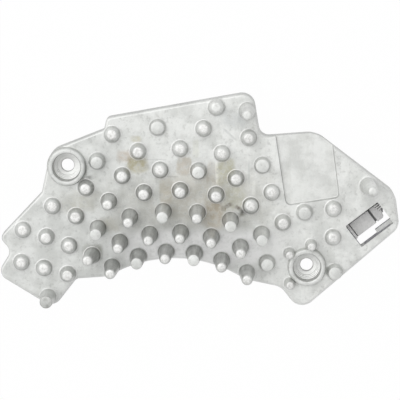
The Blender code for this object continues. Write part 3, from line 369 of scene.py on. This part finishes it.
def soften(mesh, size, segments, keep):
    """Bevel the edges that a test picks."""
    edges = [edge for edge in mesh.edges if keep(edge)]
    bmesh.ops.bevel(mesh, geom=edges, offset=size, offset_type="OFFSET", segments=segments, profile=0.5,
                    affect="EDGES", clamp_overlap=True, material=-1)


def piece_of(mesh, name, sharp=SHARP_ANGLE):
    """A mesh as an object at the origin, smooth but for its sharp edges."""
    data = bpy.data.meshes.new(name)
    mesh.to_mesh(data)
    mesh.free()
    made = bpy.data.objects.new(name, data)
    bpy.context.collection.objects.link(made)
    data.shade_smooth()
    data.set_sharp_from_angle(angle=sharp)
    return made


def cut(piece, tools, operation="DIFFERENCE"):
    """Work tools into a piece one after another, and keep only the result."""
    for tool in tools:
        step = piece.modifiers.new("work", "BOOLEAN")
        step.operation = operation
        step.solver = "EXACT"
        step.object = tool
    shaped = piece.evaluated_get(bpy.context.evaluated_depsgraph_get())
    data = bpy.data.meshes.new_from_object(shaped)
    piece.modifiers.clear()
    old = piece.data
    piece.data = data
    bpy.data.meshes.remove(old)
    for tool in tools:
        bpy.data.objects.remove(tool, do_unlink=True)
    data.shade_smooth()
    data.set_sharp_from_angle(angle=SHARP_ANGLE)


moulding = Finish("grey_moulding", roughness=0.5)
flow = moulding.noise(800.0, 4.0, 0.7)
pore = moulding.noise(2600.0, 2.0)
pale_grey = moulding.blend(flow.ramp(0.34, 0.66), (0.88, 0.88, 0.86), (1.0, 1.0, 0.98))
level = moulding.put("ShaderNodeSeparateXYZ", {}, {0: moulding.place()}, 2)
turned_by = math.degrees(WINDOW_TURN)
# painted shadow: outside a box over its open top, the socket below 12.4 mm is darkened where the casting's
# edge and collar shade it
unshadowed_top = by_window(0.05 * MM, -0.3 * MM) / MM
painted_shadow_under_edge = moulding.reach(*unshadowed_top, 6.95, 3.6, turned_by, power=0).ramp(0.99, 1.02)
painted_shadow_under_edge = painted_shadow_under_edge * level.ramp(12.4 * MM, 12.1 * MM)
# painted shade on the groove's floor
in_groove = by_window(2.8 * MM, -0.9 * MM) / MM
deep = moulding.reach(*in_groove, 0.6, 3.2, turned_by, power=0).ramp(1.02, 0.98)
deep = deep * level.ramp(11.6 * MM, 11.3 * MM)
moulding.give("Base Color", moulding.blend(painted_shadow_under_edge.most(deep) * 0.8, pale_grey, (0.22, 0.22, 0.22)))
moulding.give("Roughness", 0.4 + pore * 0.25)
moulding.bump(pore + flow, 0.08 * MM)

start = SOCKET_SHIFT - SOCKET_LENGTH / 2.0
end = SOCKET_SHIFT + SOCKET_LENGTH / 2.0


def by_window_rows(rows, rounds=None):
    """Corners from places along and out, in millimetres."""
    rounds = rounds or [0.0] * len(rows)
    return [(*by_window(along * MM, out * MM), radius * MM) for (along, out), radius in zip(rows, rounds)]


def level_edge(edge):
    return abs(edge.verts[0].co.z - edge.verts[1].co.z) < 1e-6


body_mesh = plate_of(window_corners(start, GROOVE[0], SOCKET_BACK, SOCKET_MOUTH), SOCKET_LOW, SOCKET_HIGH)
soften(body_mesh, SOCKET_ROUND, 3, level_edge)
socket = piece_of(body_mesh, "socket_body")
tab_mesh = plate_of(by_window_rows(TAB, TAB_ROUNDS), SOCKET_LOW + 0.01 * MM, SOCKET_HIGH - 0.15 * MM)
soften(tab_mesh, SOCKET_ROUND, 3, level_edge)
core = window_corners(GROOVE[0] - 1.0 * MM, end - 0.4 * MM, SOCKET_BACK + 0.2 * MM, SOCKET_MOUTH - 0.3 * MM)
flange = window_corners(start - SOCKET_FLANGE, end + SOCKET_FLANGE, SOCKET_BACK, SOCKET_FLANGE_FRONT)
end_rib = window_corners(*END_RIB, END_RIB_BACK, SOCKET_MOUTH)
web = window_corners(END_RIB[0] + 0.3 * MM, start + 0.6 * MM,
                     END_RIB_BACK + 0.1 * MM, SOCKET_MOUTH - 0.1 * MM)
parts = [tab_mesh, plate_of(core, SOCKET_LOW + 0.02 * MM, SOCKET_HIGH - GROOVE_DEPTH),
         plate_of(flange, SOCKET_LOW, SOCKET_HIGH + SOCKET_FLANGE),
         plate_of(end_rib, *END_RIB_LEVELS), plate_of(web, *WEB_LEVELS),
         plate_of(by_window_rows(BLOCK), *BLOCK_LEVELS)]
for out in LOCK_RIBS:
    rib_start = (LOCK_RIB_START + (out - LOCK_RIBS[0]) * LOCK_RIB_SLANT) * MM
    rib = window_corners(rib_start, LOCK_RIB_END * MM, out * MM, (out + LOCK_RIB_WIDTH) * MM)
    parts.append(plate_of(rib, *LOCK_RIB_LEVELS))
cut(socket, [piece_of(part, "part_of_socket") for part in parts], "UNION")
inside = window_corners(start + SOCKET_WALL, end - SOCKET_WALL,
                        SOCKET_MOUTH - SOCKET_DEPTH, SOCKET_MOUTH + PAST)
inside_mesh = plate_of(inside, SOCKET_LOW + SOCKET_WALL, SOCKET_HIGH - SOCKET_WALL - SOCKET_ROOF)
cut(socket, [piece_of(inside_mesh, "inside")])
socket.data.materials.clear()
socket.data.materials.append(moulding.material)
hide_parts("connector_socket")
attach(socket, "root")

# Casting, plate: die-cast aluminium, one piece with a folded-down skirt, an arc edge struck about the
# blower's axis, a shallow panel open to the upper edge and a slanted window over the connector.
CROWN = Vector((-10.282, -24.612)) * MM
ARC_RADIUS = 53.4 * MM
ARC_RUNS = (-23.3 * MM, 28.6 * MM)
ARC_STEPS = 27
RIM_Z = 12.0 * MM
UNDERSIDE_Z = 16.5 * MM
PLATE_Z = 20.0 * MM
EDGE_ROUND = 1.1 * MM
SKIRT_WALL = 2.4 * MM
SKIN = 0.06 * MM
LEAST_ROUND = 0.4 * MM
# x, y and corner radius in millimetres from the arc edge's crown, anticlockwise to that edge and on
OUTLINE_LEFT = [(-73.1, 8.7, 2.8), (-68.1, 3.0, 3.8), (-74.2, -6.6, 4.2), (-50.6, -21.1, 5.0),
                (-40.9, -8.6, 2.5), (-29.0, -7.8, 3.0)]
OUTLINE_RIGHT = [(32.3, -9.4, 3.0), (44.2, -11.9, 6.0), (52.4, -22.3, 6.2), (93.5, 13.3, 5.4),
                 (91.6, 27.8, 8.3), (58.7, 52.8, 10.0), (35.7, 51.1, 4.0), (32.6, 69.8, 5.6),
                 (-28.1, 58.9, 2.2), (-29.2, 54.0, 1.2), (-51.4, 45.2, 6.6), (-55.3, 27.6, 1.5)]
PANEL = [(41.2, 56.6, 0.0), (46.5, 22.6, 2.2), (68.3, 26.0, 1.8), (65.0, 50.6, 0.0)]
PANEL_MIDDLE = (55.0, 40.0)
PANEL_DEPTH = 1.5 * MM
PANEL_FLARE = 0.8 * MM
PANEL_ROUND = 0.35 * MM
WINDOW_LENGTH = 16.7 * MM
WINDOW_WIDTH = 11.1 * MM
WINDOW_ROUND = 0.5 * MM
COLLAR_WALL = 2.0 * MM
COLLAR_ROUND = 0.8 * MM
LEDGE = (8.0 * MM, 1.6 * MM, 2.5 * MM)
BOSSES = [CROWN + Vector((-44.6, 38.6)) * MM, CROWN + Vector((55.1, -3.2)) * MM]
BOSS_RADIUS = 8.0 * MM
BOSS_OVERLAP = 0.6 * MM
# the two ends of each rib under the plate, in millimetres from the crown
RIBS = [((-66.5, 4.1), (-29.0, 6.1)), ((-68.5, 10.1), (-33.0, 17.1)), ((-58.0, -11.4), (-45.0, -3.4)),
        ((55.1, -3.2), (68.0, 10.2))]
RIB_WIDTH = 1.6 * MM
RIB_DEPTH = 3.0 * MM


def on_arc(out, run):
    """A place so far out from the arc edge and so far along its own arc, in metres."""
    radius = ARC_RADIUS + out
    angle = run / radius
    return CROWN + Vector((math.sin(angle) * radius, math.cos(angle) * radius - ARC_RADIUS))


def from_crown(rows):
    return [(CROWN.x + x * MM, CROWN.y + y * MM, radius * MM) for x, y, radius in rows]


def moved_in(corners, distance):
    """The same corners with every side moved inwards."""
    moved = []
    for index, (x, y, radius) in enumerate(corners):
        here = Vector((x, y))
        before = (here - Vector(corners[index - 1][:2])).normalized()
        after = (Vector(corners[(index + 1) % len(corners)][:2]) - here).normalized()
        inward = Vector((-before.y - after.y, before.x + after.x))
        shift = inward * distance / (1.0 + before.dot(after))
        convex = before.x * after.y > before.y * after.x
        new_radius = max(radius + (-distance if convex else distance), LEAST_ROUND) if radius else 0.0
        moved.append((x + shift.x, y + shift.y, new_radius))
    return moved


def drum(middle, radius, low, high, sides=48):
    """A round post between two levels."""
    mesh = bmesh.new()
    bmesh.ops.create_cone(mesh, cap_ends=True, segments=sides, radius1=radius, radius2=radius,
                          depth=high - low)
    bmesh.ops.translate(mesh, vec=(middle.x, middle.y, (low + high) / 2.0), verts=mesh.verts)
    return mesh


arc = [(*on_arc(0.0, ARC_RUNS[0] + (ARC_RUNS[1] - ARC_RUNS[0]) * step / ARC_STEPS), 0.0)
       for step in range(ARC_STEPS + 1)]
outline = moved_in(from_crown(OUTLINE_LEFT) + arc + from_crown(OUTLINE_RIGHT), SKIN)
plate_mesh = plate_of(outline, RIM_Z, PLATE_Z, segments=9)
below = min(plate_mesh.faces, key=lambda face: face.calc_center_median().z)
rim_line = [vert.co.xy.copy() for vert in below.verts]
soften(plate_mesh, EDGE_ROUND, 5, lambda edge: min(vert.co.z for vert in edge.verts) > PLATE_Z - 1e-6)
casting = piece_of(plate_mesh, "casting_plate")

under = RIM_Z - 2.0 * PAST
over = UNDERSIDE_Z + PAST
hollow = piece_of(plate_of(moved_in(outline, SKIRT_WALL), RIM_Z - PAST, UNDERSIDE_Z), "hollow")
standing = [piece_of(drum(place, BOSS_RADIUS, under, over), "post") for place in BOSSES]
half_length = WINDOW_LENGTH / 2.0
half_width = WINDOW_WIDTH / 2.0
collar = window_corners(-half_length - COLLAR_WALL, half_length + COLLAR_WALL,
                        -half_width - COLLAR_WALL, half_width + COLLAR_WALL, COLLAR_ROUND)
standing.append(piece_of(plate_of(collar, under, over), "collar"))
for first, last in RIBS:
    ends = [CROWN + Vector(place) * MM for place in (first, last)]
    along = (ends[1] - ends[0]).normalized()
    across = Vector((along.y, -along.x)) * RIB_WIDTH / 2.0
    places = [ends[0] + across, ends[1] + across, ends[1] - across, ends[0] - across]
    rib = [(place.x, place.y, 0.0) for place in places]
    standing.append(piece_of(plate_of(rib, UNDERSIDE_Z - RIB_DEPTH, over), "rib"))
cut(hollow, standing)

window = window_corners(-half_length, half_length, -half_width, half_width, WINDOW_ROUND)
opening = piece_of(plate_of(window, RIM_Z - PAST, PLATE_Z + PAST, segments=4), "opening")
ledge_length, ledge_depth, ledge_height = LEDGE
ledge = window_corners(half_length - ledge_length, half_length + PAST, half_width - ledge_depth,
                       half_width + PAST)
cut(opening, [piece_of(plate_of(ledge, under, RIM_Z + ledge_height), "ledge")])

panel_mesh = plate_of(from_crown(PANEL), PLATE_Z - PANEL_DEPTH, PLATE_Z + PAST, segments=8)
for vert in panel_mesh.verts:
    if vert.co.z > PLATE_Z:
        middle = (CROWN + Vector(PANEL_MIDDLE) * MM).to_3d() + Vector((0.0, 0.0, vert.co.z))
        vert.co += (vert.co - middle).normalized() * PANEL_FLARE
half_deep = PLATE_Z - PANEL_DEPTH / 2.0
soften(panel_mesh, PANEL_ROUND, 3, lambda edge: max(vert.co.z for vert in edge.verts) < half_deep)
panel = piece_of(panel_mesh, "panel")
wells = [piece_of(drum(place, BOSS_RADIUS - BOSS_OVERLAP, RIM_Z - PAST, PLATE_Z + PAST), "well")
         for place in BOSSES]
cut(casting, [hollow, opening, panel] + wells)

# Casting, bosses: two raised rims round deep wells, cast with the plate. Steps lead down the wells to
# the holes for the screws that fix the whole to the blower.

# radius and level in millimetres, from the underside up the outside, over the rim and down the well
BOSS_OUTSIDE = [(2.65, 12.0), (8.0, 12.0), (8.0, 16.0), (8.35, 19.6), (8.05, 20.1), (7.92, 20.7),
                (7.84, 21.6), (7.74, 22.35), (7.55, 22.8), (7.25, 22.97), (6.9, 23.0), (6.3, 23.0),
                (6.02, 22.94), (5.84, 22.75), (5.74, 22.3), (5.7, 21.4), (5.66, 18.3), (5.55, 18.15),
                (5.2, 18.1), (5.16, 17.05), (5.08, 16.95), (4.7, 16.9), (4.66, 15.85), (4.58, 15.75),
                (4.3, 15.7), (4.26, 14.7), (4.14, 14.55), (3.9, 14.5), (2.95, 14.5), (2.72, 14.4),
                (2.65, 14.1)]
BOSS_SIDES = 72


def turned(profile, middle, sides, closed):
    """Spin a profile of radius and level in millimetres about an upright line."""
    mesh = bmesh.new()
    verts = [mesh.verts.new((middle.x + radius * MM, middle.y, level * MM)) for radius, level in profile]
    edges = [mesh.edges.new(pair) for pair in zip(verts, verts[1:])]
    if closed:
        edges.append(mesh.edges.new((verts[-1], verts[0])))
    bmesh.ops.spin(mesh, geom=verts + edges, cent=(middle.x, middle.y, 0.0), axis=(0.0, 0.0, 1.0),
                   dvec=(0, 0, 0), angle=2.0 * math.pi, steps=sides, use_merge=True, use_duplicate=False)
    bmesh.ops.remove_doubles(mesh, verts=mesh.verts, dist=0.001 * MM)
    bmesh.ops.recalc_face_normals(mesh, faces=mesh.faces)
    return mesh


def gather(meshes):
    """Several meshes in one."""
    whole = bmesh.new()
    for mesh in meshes:
        data = bpy.data.meshes.new("part")
        mesh.to_mesh(data)
        mesh.free()
        whole.from_mesh(data)
        bpy.data.meshes.remove(data)
    return whole


both_bosses = gather([turned(BOSS_OUTSIDE, place, BOSS_SIDES, True) for place in BOSSES])
bosses = piece_of(both_bosses, "casting_bosses")

# Casting, pins: tapered cooling pins left by the die, tall over the arc and cut down elsewhere. Round
# noses are from the die's bores and flat ends from its ejectors.

# out from the arc edge, the first pin's place and the pitch along the row, in millimetres, and the kinds
# of pin, where a dot leaves a place empty
INNER_ROWS = [(3.0, -27.0, 11.76, "tTtTtt"), (11.2, -49.0, 12.89, "lttttttMs"),
              (20.1, -61.2, 14.15, "nnTtTtTTs"), (28.8, -73.0, 15.08, "nllhmmmnlsL"),
              (37.5, -69.65, 15.93, "nnllnMlnLn")]
OUTER_ROWS = [(46.2, -32.5, 17.45, "MlnnN.n"), (55.2, -26.0, 19.07, "nNnn"), (64.7, 17.5, 0.0, "n"),
              (65.8, 30.4, 0.0, "t"), (62.9, 88.5, 0.0, "t")]
CORNER_PIN = (-52.8, -16.3)
# height above the plate and radius at the nose or end, in millimetres; capitals have a flat end
PIN_KINDS = {"t": (20.0, 2.35), "T": (20.0, 2.4), "h": (13.0, 2.4), "H": (13.0, 2.6), "m": (8.0, 2.45),
             "M": (7.0, 2.6), "l": (5.0, 2.5), "L": (4.7, 2.7), "n": (3.0, 2.6), "N": (2.8, 2.85),
             "s": (6.5, 1.8)}
STRAIGHT = Vector((0.0, 0.0))
# by row and number, how far the end of a bent pin stands aside, in millimetres
BENT = {(11.2, 1): Vector((-1.0, 0.7)), (62.9, 0): Vector((1.1, 0.0))}
PIN_FOOT = 3.3
SLIM_FOOT = 2.3
# share of the radius and of the nose's depth, from the top down
NOSE = [(0.0, 0.0), (0.4, 0.0), (0.62, 0.02), (0.75, 0.08), (0.84, 0.19), (0.91, 0.36), (0.96, 0.58),
        (0.99, 0.81), (1.0, 1.0)]
LOW_NOSE = [(0.0, 0.0), (0.45, 0.0), (0.60, 0.03), (0.66, 0.11), (0.74, 0.26), (0.83, 0.45), (0.91, 0.64),
            (0.98, 0.86), (1.0, 1.0)]
FLAT_END_ROUND = 0.4
NOSE_DEPTH = {"t": 1.9, "h": 1.6}
LOW_NOSE_DEPTH = 0.9
LOW_NOSE_WIDER = 0.35
ROOT_FLARE = 0.6
ROOT_HEIGHT = 0.9
PIN_SINK = 1.1
PIN_SIDES = 28
PIN_SHARP_ANGLE = math.radians(50.0)
EDGE_LAND = 0.15 * MM
NEAR_EDGE = 4.1 * MM
# further out than this the pins stand alone, in the flat ones' metal
ALONE = 62.0


def pin_profile(kind):
    """Radius and level down one pin in millimetres: the nose or flat end, the draft and the root fillet."""
    height, tip = PIN_KINDS[kind]
    foot = SLIM_FOOT if kind == "s" else PIN_FOOT
    root = foot + ROOT_FLARE
    plate = PLATE_Z / MM
    top = plate + height
    if kind.isupper():
        shoulder = tip
        drop = FLAT_END_ROUND
        nose = [(0.0, top), (tip - drop, top), (tip - 0.15, top - 0.05), (tip - 0.03, top - 0.18),
                (tip, top - drop)]
    else:
        drop = NOSE_DEPTH.get(kind, LOW_NOSE_DEPTH)
        shoulder = tip + (LOW_NOSE_WIDER if kind == "n" else 0.0)
        nose = [(shoulder * out, top - drop * down) for out, down in (LOW_NOSE if kind == "n" else NOSE)]
    shank = [(shoulder + (foot - shoulder) * share, top - drop - (height - drop - ROOT_HEIGHT) * share)
             for share in (0.25, 0.5, 0.75, 1.0)]
    turns = [math.radians(turn) for turn in (25, 50, 72, 90)]
    fillet = [(foot + ROOT_FLARE * (1.0 - math.cos(turn)), plate + ROOT_HEIGHT * (1.0 - math.sin(turn)))
              for turn in turns]
    return nose + shank + fillet + [(root, plate - PIN_SINK), (0.0, plate - PIN_SINK)]


def held_in(mesh, place):
    """Draw a pin's foot back to the land that is left along the casting's sides."""
    for index, first in enumerate(rim_line):
        side = rim_line[(index + 1) % len(rim_line)] - first
        share = max(0.0, min(1.0, (place - first).dot(side) / side.length_squared))
        if (place - first - side * share).length < NEAR_EDGE:
            inward = Vector((-side.y, side.x)).normalized()
            if (place - first).dot(inward) < 0.0:
                inward = -inward
            for vert in mesh.verts:
                vert.co.xy += inward * max(0.0, EDGE_LAND - (vert.co.xy - first).dot(inward))


def pin(kind, place, bend=STRAIGHT):
    """One pin, leaning as far as it was bent."""
    mesh = turned(pin_profile(kind), place, PIN_SIDES, False)
    held_in(mesh, place)
    height = PIN_KINDS[kind][0] * MM
    for vert in mesh.verts:
        vert.co.xy += bend * MM * max(0.0, vert.co.z - PLATE_Z) / height
    return mesh


nosed = []
blunt = []
for out, first, pitch, planting in INNER_ROWS + OUTER_ROWS:
    for number, kind in enumerate(planting):
        if kind != ".":
            bend = BENT.get((out, number), STRAIGHT)
            group = blunt if kind.isupper() or out > ALONE else nosed
            group.append(pin(kind, on_arc(out * MM, (first + pitch * number) * MM), bend))
blunt.append(pin("H", CROWN + Vector(CORNER_PIN) * MM))
nosed_pins = piece_of(gather(nosed), "casting_pins", PIN_SHARP_ANGLE)
blunt_pins = piece_of(gather(blunt), "casting_ejector_pins", PIN_SHARP_ANGLE)

# Casting, finish: aluminium as it left the die, cloudy grey, with heat stains and flow marks between
# the pins.

# middle x, y, half-length and half-width in millimetres, turn in degrees, softness of the edge and tint
STAINS = [
    (-3.0, -1.0, 31.0, 11.5, 3.0, 0.8, (0.81, 0.80, 0.77)),
    (47.0, -36.0, 10.0, 8.0, 30.0, 0.9, (1.07, 1.07, 1.07)),
    (-2.2, 1.0, 12.5, 9.0, 0.0, 0.6, (0.95, 0.93, 0.90)),
    (-6.4, 14.3, 3.0, 3.8, -8.0, 0.35, (0.79, 0.74, 0.68)),
    (5.0, 11.1, 1.9, 4.8, 0.0, 0.45, (0.87, 0.845, 0.81)),
    (11.2, 12.0, 3.6, 5.4, 0.0, 0.6, (0.73, 0.71, 0.58)),
    (14.4, 1.2, 4.2, 5.2, 0.0, 0.7, (0.87, 0.86, 0.78)),
    (6.0, -6.0, 3.6, 5.8, 0.0, 0.7, (0.82, 0.75, 0.66)),
    (12.1, -2.2, 1.3, 0.8, 30.0, 1.2, (0.35, 0.31, 0.30)),
    (10.3, -3.5, 0.9, 0.9, 0.0, 1.2, (0.42, 0.38, 0.30)),
    (16.0, -3.2, 1.0, 0.7, -30.0, 1.2, (0.35, 0.31, 0.30)),
    (18.2, -4.6, 1.5, 1.2, 0.0, 1.4, (0.30, 0.30, 0.30)),
    (17.4, -6.1, 1.3, 0.9, 20.0, 1.4, (0.35, 0.34, 0.30)),
    (-25.7, 14.6, 3.8, 3.1, 0.0, 0.7, (0.66, 0.61, 0.45)),
    (-31.2, 18.2, 2.6, 2.4, 0.0, 0.9, (0.78, 0.71, 0.65)),
    (-26.1, 25.5, 1.8, 1.2, 0.0, 0.9, (0.82, 0.79, 0.69)),
    (-13.8, 4.4, 2.7, 5.4, 0.0, 0.4, (0.90, 0.87, 0.82)),
    (-17.8, 2.8, 1.3, 4.6, 0.0, 0.6, (1.10, 1.11, 1.13)),
    (-1.5, 21.6, 1.3, 3.8, 0.0, 0.6, (0.92, 0.92, 0.88)),
    (7.3, 11.2, 0.6, 5.0, 2.0, 0.6, (1.25, 1.24, 1.22)),
    (22.6, 5.1, 0.7, 3.4, 0.0, 0.6, (1.12, 1.12, 1.12)),
    (12.4, 27.7, 3.4, 0.4, -42.0, 0.8, (0.80, 0.81, 0.81)),
    (20.6, 11.9, 0.4, 5.0, 0.0, 0.8, (0.88, 0.89, 0.89)),
    (-18.2, 16.9, 4.8, 0.25, 0.0, 0.5, (0.85, 0.85, 0.85)),
    (-11.2, 9.8, 2.4, 0.25, 0.0, 0.5, (0.80, 0.80, 0.80)),
    (-47.4, 12.6, 0.8, 2.2, 0.0, 0.8, (0.50, 0.50, 0.49)),
    (-46.6, 8.9, 1.9, 0.9, 15.0, 0.9, (0.45, 0.45, 0.44)),
    (-44.0, -21.8, 3.6, 3.2, 0.0, 0.7, (0.48, 0.48, 0.44)),
    (-50.0, -1.0, 7.5, 4.5, 8.0, 1.0, (0.79, 0.78, 0.74)),
    (-37.1, -10.5, 4.0, 3.0, 0.0, 1.0, (0.84, 0.82, 0.77)),
    (13.5, 34.0, 5.5, 3.6, -15.0, 0.9, (0.80, 0.81, 0.82)),
]
# where the shanks' drag marks and painted shade are strongest: middle x, y, half-length and half-width in
# millimetres
SHANK_DARK_ZONE = (-10.0, -9.0, 34.0, 20.0)


class Metal(Finish):
    """The casting's aluminium, with its colour built up in steps."""

    def __init__(self, name, roughness=0.36):
        super().__init__(name, metallic=0.4)
        parts = self.put("ShaderNodeSeparateXYZ", {}, {0: self.place()}).socket.node
        self.rise = Signal(self, parts.outputs[2])
        face = self.put("ShaderNodeNewGeometry", {}, {}, "Normal")
        self.facing = self.put("ShaderNodeSeparateXYZ", {}, {0: face}, 2)
        self.aside = Signal(self, self.facing.socket.node.outputs[0])
        self.ragged = self.noise(260.0, 4.0, 0.65)
        self.mottle = self.noise(520.0, 4.0, 0.65)
        self.grain = self.noise(3800.0, 2.0)
        self.cloud = self.noise(110.0, 5.0, 0.62)
        self.pits = self.noise(1500.0, 3.0, 0.7).ramp(0.72, 0.80)
        self.colour = self.blend(self.cloud.ramp(0.36, 0.62), (0.67, 0.68, 0.66), (0.81, 0.82, 0.80))
        dull = Signal(self, parts.outputs[0]).ramp(40.0 * MM, -60.0 * MM)
        self.tint(dull * 0.30, (0.62, 0.63, 0.63))
        streaks = self.noise(300.0, 3.0, 0.6, stretch=(1.0, 0.2, 1.0))
        self.tint(streaks.ramp(0.45, 0.65) * 0.5, (0.93, 0.93, 0.92))
        uneven = (self.mottle.ramp(0.36, 0.60) * 0.6 + 0.4) * self.rise.ramp(21.6 * MM, 20.4 * MM)
        for x, y, length, width, angle, soft, tint in STAINS:
            reach = self.reach(x, y, length, width, angle)
            spread = (reach + (self.ragged - 0.5) * (soft * 1.8)).ramp(1.0 + soft / 2.0, 1.0 - soft / 2.0)
            self.tint(spread * uneven, tint)
        rough = self.rise.ramp(18.4 * MM, 19.4 * MM) * 0.75 + 0.25
        self.tint(self.mottle.ramp(0.52, 0.64) * rough * 0.5, (1.10, 1.10, 1.10))
        self.tint(self.mottle.ramp(0.46, 0.34) * rough * 0.5, (0.68, 0.68, 0.67))
        self.tint(self.grain.ramp(0.40, 0.25) * 0.4, (0.62, 0.62, 0.60))
        self.give("Roughness", roughness + self.mottle * 0.2)

    def tint(self, share, tint):
        self.colour = self.blend(share, self.colour, tint, "MULTIPLY")

    def toward(self, share, colour):
        self.colour = self.blend(share, self.colour, colour)

    def close(self):
        self.tint(self.pits * 0.35, (0.4, 0.4, 0.36))
        self.give("Base Color", self.colour)
        self.bump(self.grain * 0.35 + self.mottle * 0.9 + self.cloud * 0.6 - self.pits * 0.8, 0.16 * MM, 0.6)
        return self.material


# the plate: painted light along the arc edge, a painted highlight on the rounded upper edges, painted shade
# on steep faces, and the window's walls darker
plate_metal = Metal("cast_aluminium_plate")
# painted light: the plate along the arc edge is lightened towards a pale grey
painted_light_by_arc = (plate_metal.reach(0.0, -19.5, 33.0, 7.0) + (plate_metal.ragged - 0.5)).ramp(1.3, 0.6)
plate_metal.toward(painted_light_by_arc * (0.95 - plate_metal.mottle.ramp(0.60, 0.38) * 0.35), (0.97, 0.97, 0.965))
# painted highlight on the rounded upper edges, where they turn from the flat
edge_highlight = plate_metal.facing.ramp(0.995, 0.96) * plate_metal.facing.ramp(0.5, 0.7)
plate_metal.toward(edge_highlight * 0.45, (0.92, 0.925, 0.91))
# painted shade: steep faces, and the outer part of the rounded edges, darker
plate_metal.tint(plate_metal.facing.ramp(0.55, 0.3), (0.78, 0.78, 0.78))
# the window's walls are darker below the plate's level
walls = plate_metal.reach(*WINDOW_MIDDLE / MM, 8.8, 6.0, turned_by).ramp(1.03, 1.0)
walls = walls * plate_metal.rise.ramp(19.6 * MM, 18.6 * MM)
plate_metal.tint(walls * plate_metal.facing.ramp(0.9, 0.5), (0.50, 0.48, 0.55))

# the bosses: painted light inside the wells, a painted shade line under the rim's inner edge, and painted
# shade on the rim's outer edge and round the holes
boss_metal = Metal("cast_aluminium_bosses")
left_inner, right_inner = [boss_metal.reach(*place / MM, 1.0, 1.0, power=2) for place in BOSSES]
inner = left_inner.least(right_inner)
# painted light: the wells lightened towards a pale grey
boss_metal.toward(inner.ramp(5.9, 5.6) * 0.85, (0.95, 0.955, 0.94))
# painted shade: a dark line just inside the rim's inner edge
boss_metal.tint(inner.ramp(5.95, 5.8) * inner.ramp(5.5, 5.65), (0.55, 0.55, 0.54))
# painted shade: darker on the rim's outer edge and the boss's outside
boss_metal.tint(inner.ramp(7.7, 7.95), (0.80, 0.80, 0.79))
# painted shade: darker round the holes at the wells' bottom
boss_metal.tint(inner.ramp(3.0, 2.75), (0.62, 0.62, 0.61))


def pin_metal(name, highlight_share):
    """The pins' metal, with dark drag marks down the shanks, painted shade on their steep sides strongest
    among the middle pins, and a painted highlight on the root fillets.
    """
    shank = Metal(name, roughness=0.28)
    streaks = shank.noise(750.0, 3.0, 0.7, stretch=(1.0, 1.0, 0.05))
    # the zone among the middle pins where the drag marks and the painted shade are strongest
    heat = shank.reach(*SHANK_DARK_ZONE).ramp(1.5, 0.8) * 0.75 + 0.25
    # painted shade on the shanks' steep faces: darker towards the roots, in a band above the root fillet, and
    # on the sides that face left and right
    steep = shank.facing.ramp(0.80, 0.2)
    root = shank.rise.ramp(31.0 * MM, 21.0 * MM)
    painted_side_shade = (shank.aside * shank.aside).ramp(0.2, 0.9)
    root_band_shade = shank.rise.ramp(23.6 * MM, 21.2 * MM)
    drag_marks_and_painted_shade = streaks.ramp(0.60, 0.40) * 0.22 + root * 0.16 + root_band_shade * 0.25 + painted_side_shade * 0.34
    # the streaks are drag marks; the rest of this darkening is painted shade
    shank.toward(drag_marks_and_painted_shade.least(1.0) * steep * heat, (0.16, 0.16, 0.145))
    shank.toward(streaks.ramp(0.55, 0.68) * steep * 0.35, (0.85, 0.85, 0.84))
    # painted highlight on the root fillets' upward-facing slopes
    root_fillet_highlight = shank.facing.ramp(0.995, 0.95) * shank.facing.ramp(0.35, 0.65)
    root_fillet_highlight = root_fillet_highlight * shank.rise.ramp(20.6 * MM, 20.3 * MM)
    shank.toward(root_fillet_highlight * highlight_share, (0.95, 0.95, 0.94))
    return shank


nosed_metal = pin_metal("cast_aluminium_pins", 0.6)
dents = nosed_metal.noise(1100.0, 3.0, 0.7).ramp(0.38, 0.60)
clean = nosed_metal.facing.ramp(0.84, 0.97) * nosed_metal.rise.ramp(21.5 * MM, 22.5 * MM)
nosed_metal.toward(clean * 0.9, (0.66, 0.66, 0.64))
nosed_metal.toward(clean * dents * 0.85, (0.90, 0.90, 0.885))
blunt_metal = pin_metal("cast_aluminium_ejector_pins", 0.2)
corner_place = CROWN / MM + Vector(CORNER_PIN)
broken = blunt_metal.reach(*corner_place, 3.4, 3.4, power=2).ramp(1.0, 0.9)
broken = broken * blunt_metal.rise.ramp(31.5 * MM, 32.5 * MM)
blunt_metal.tint(broken * (0.55 + blunt_metal.mottle.ramp(0.55, 0.42) * 0.45), (0.72, 0.72, 0.71))
for piece, finish in ((casting, plate_metal), (bosses, boss_metal), (nosed_pins, nosed_metal),
                      (blunt_pins, blunt_metal)):
    piece.data.materials.clear()
    piece.data.materials.append(finish.close())
    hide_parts("heat_sink")
    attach(piece, "root")
even = casting.modifiers.new("even_normals", "WEIGHTED_NORMAL")
even.weight = 90
even.keep_sharp = True
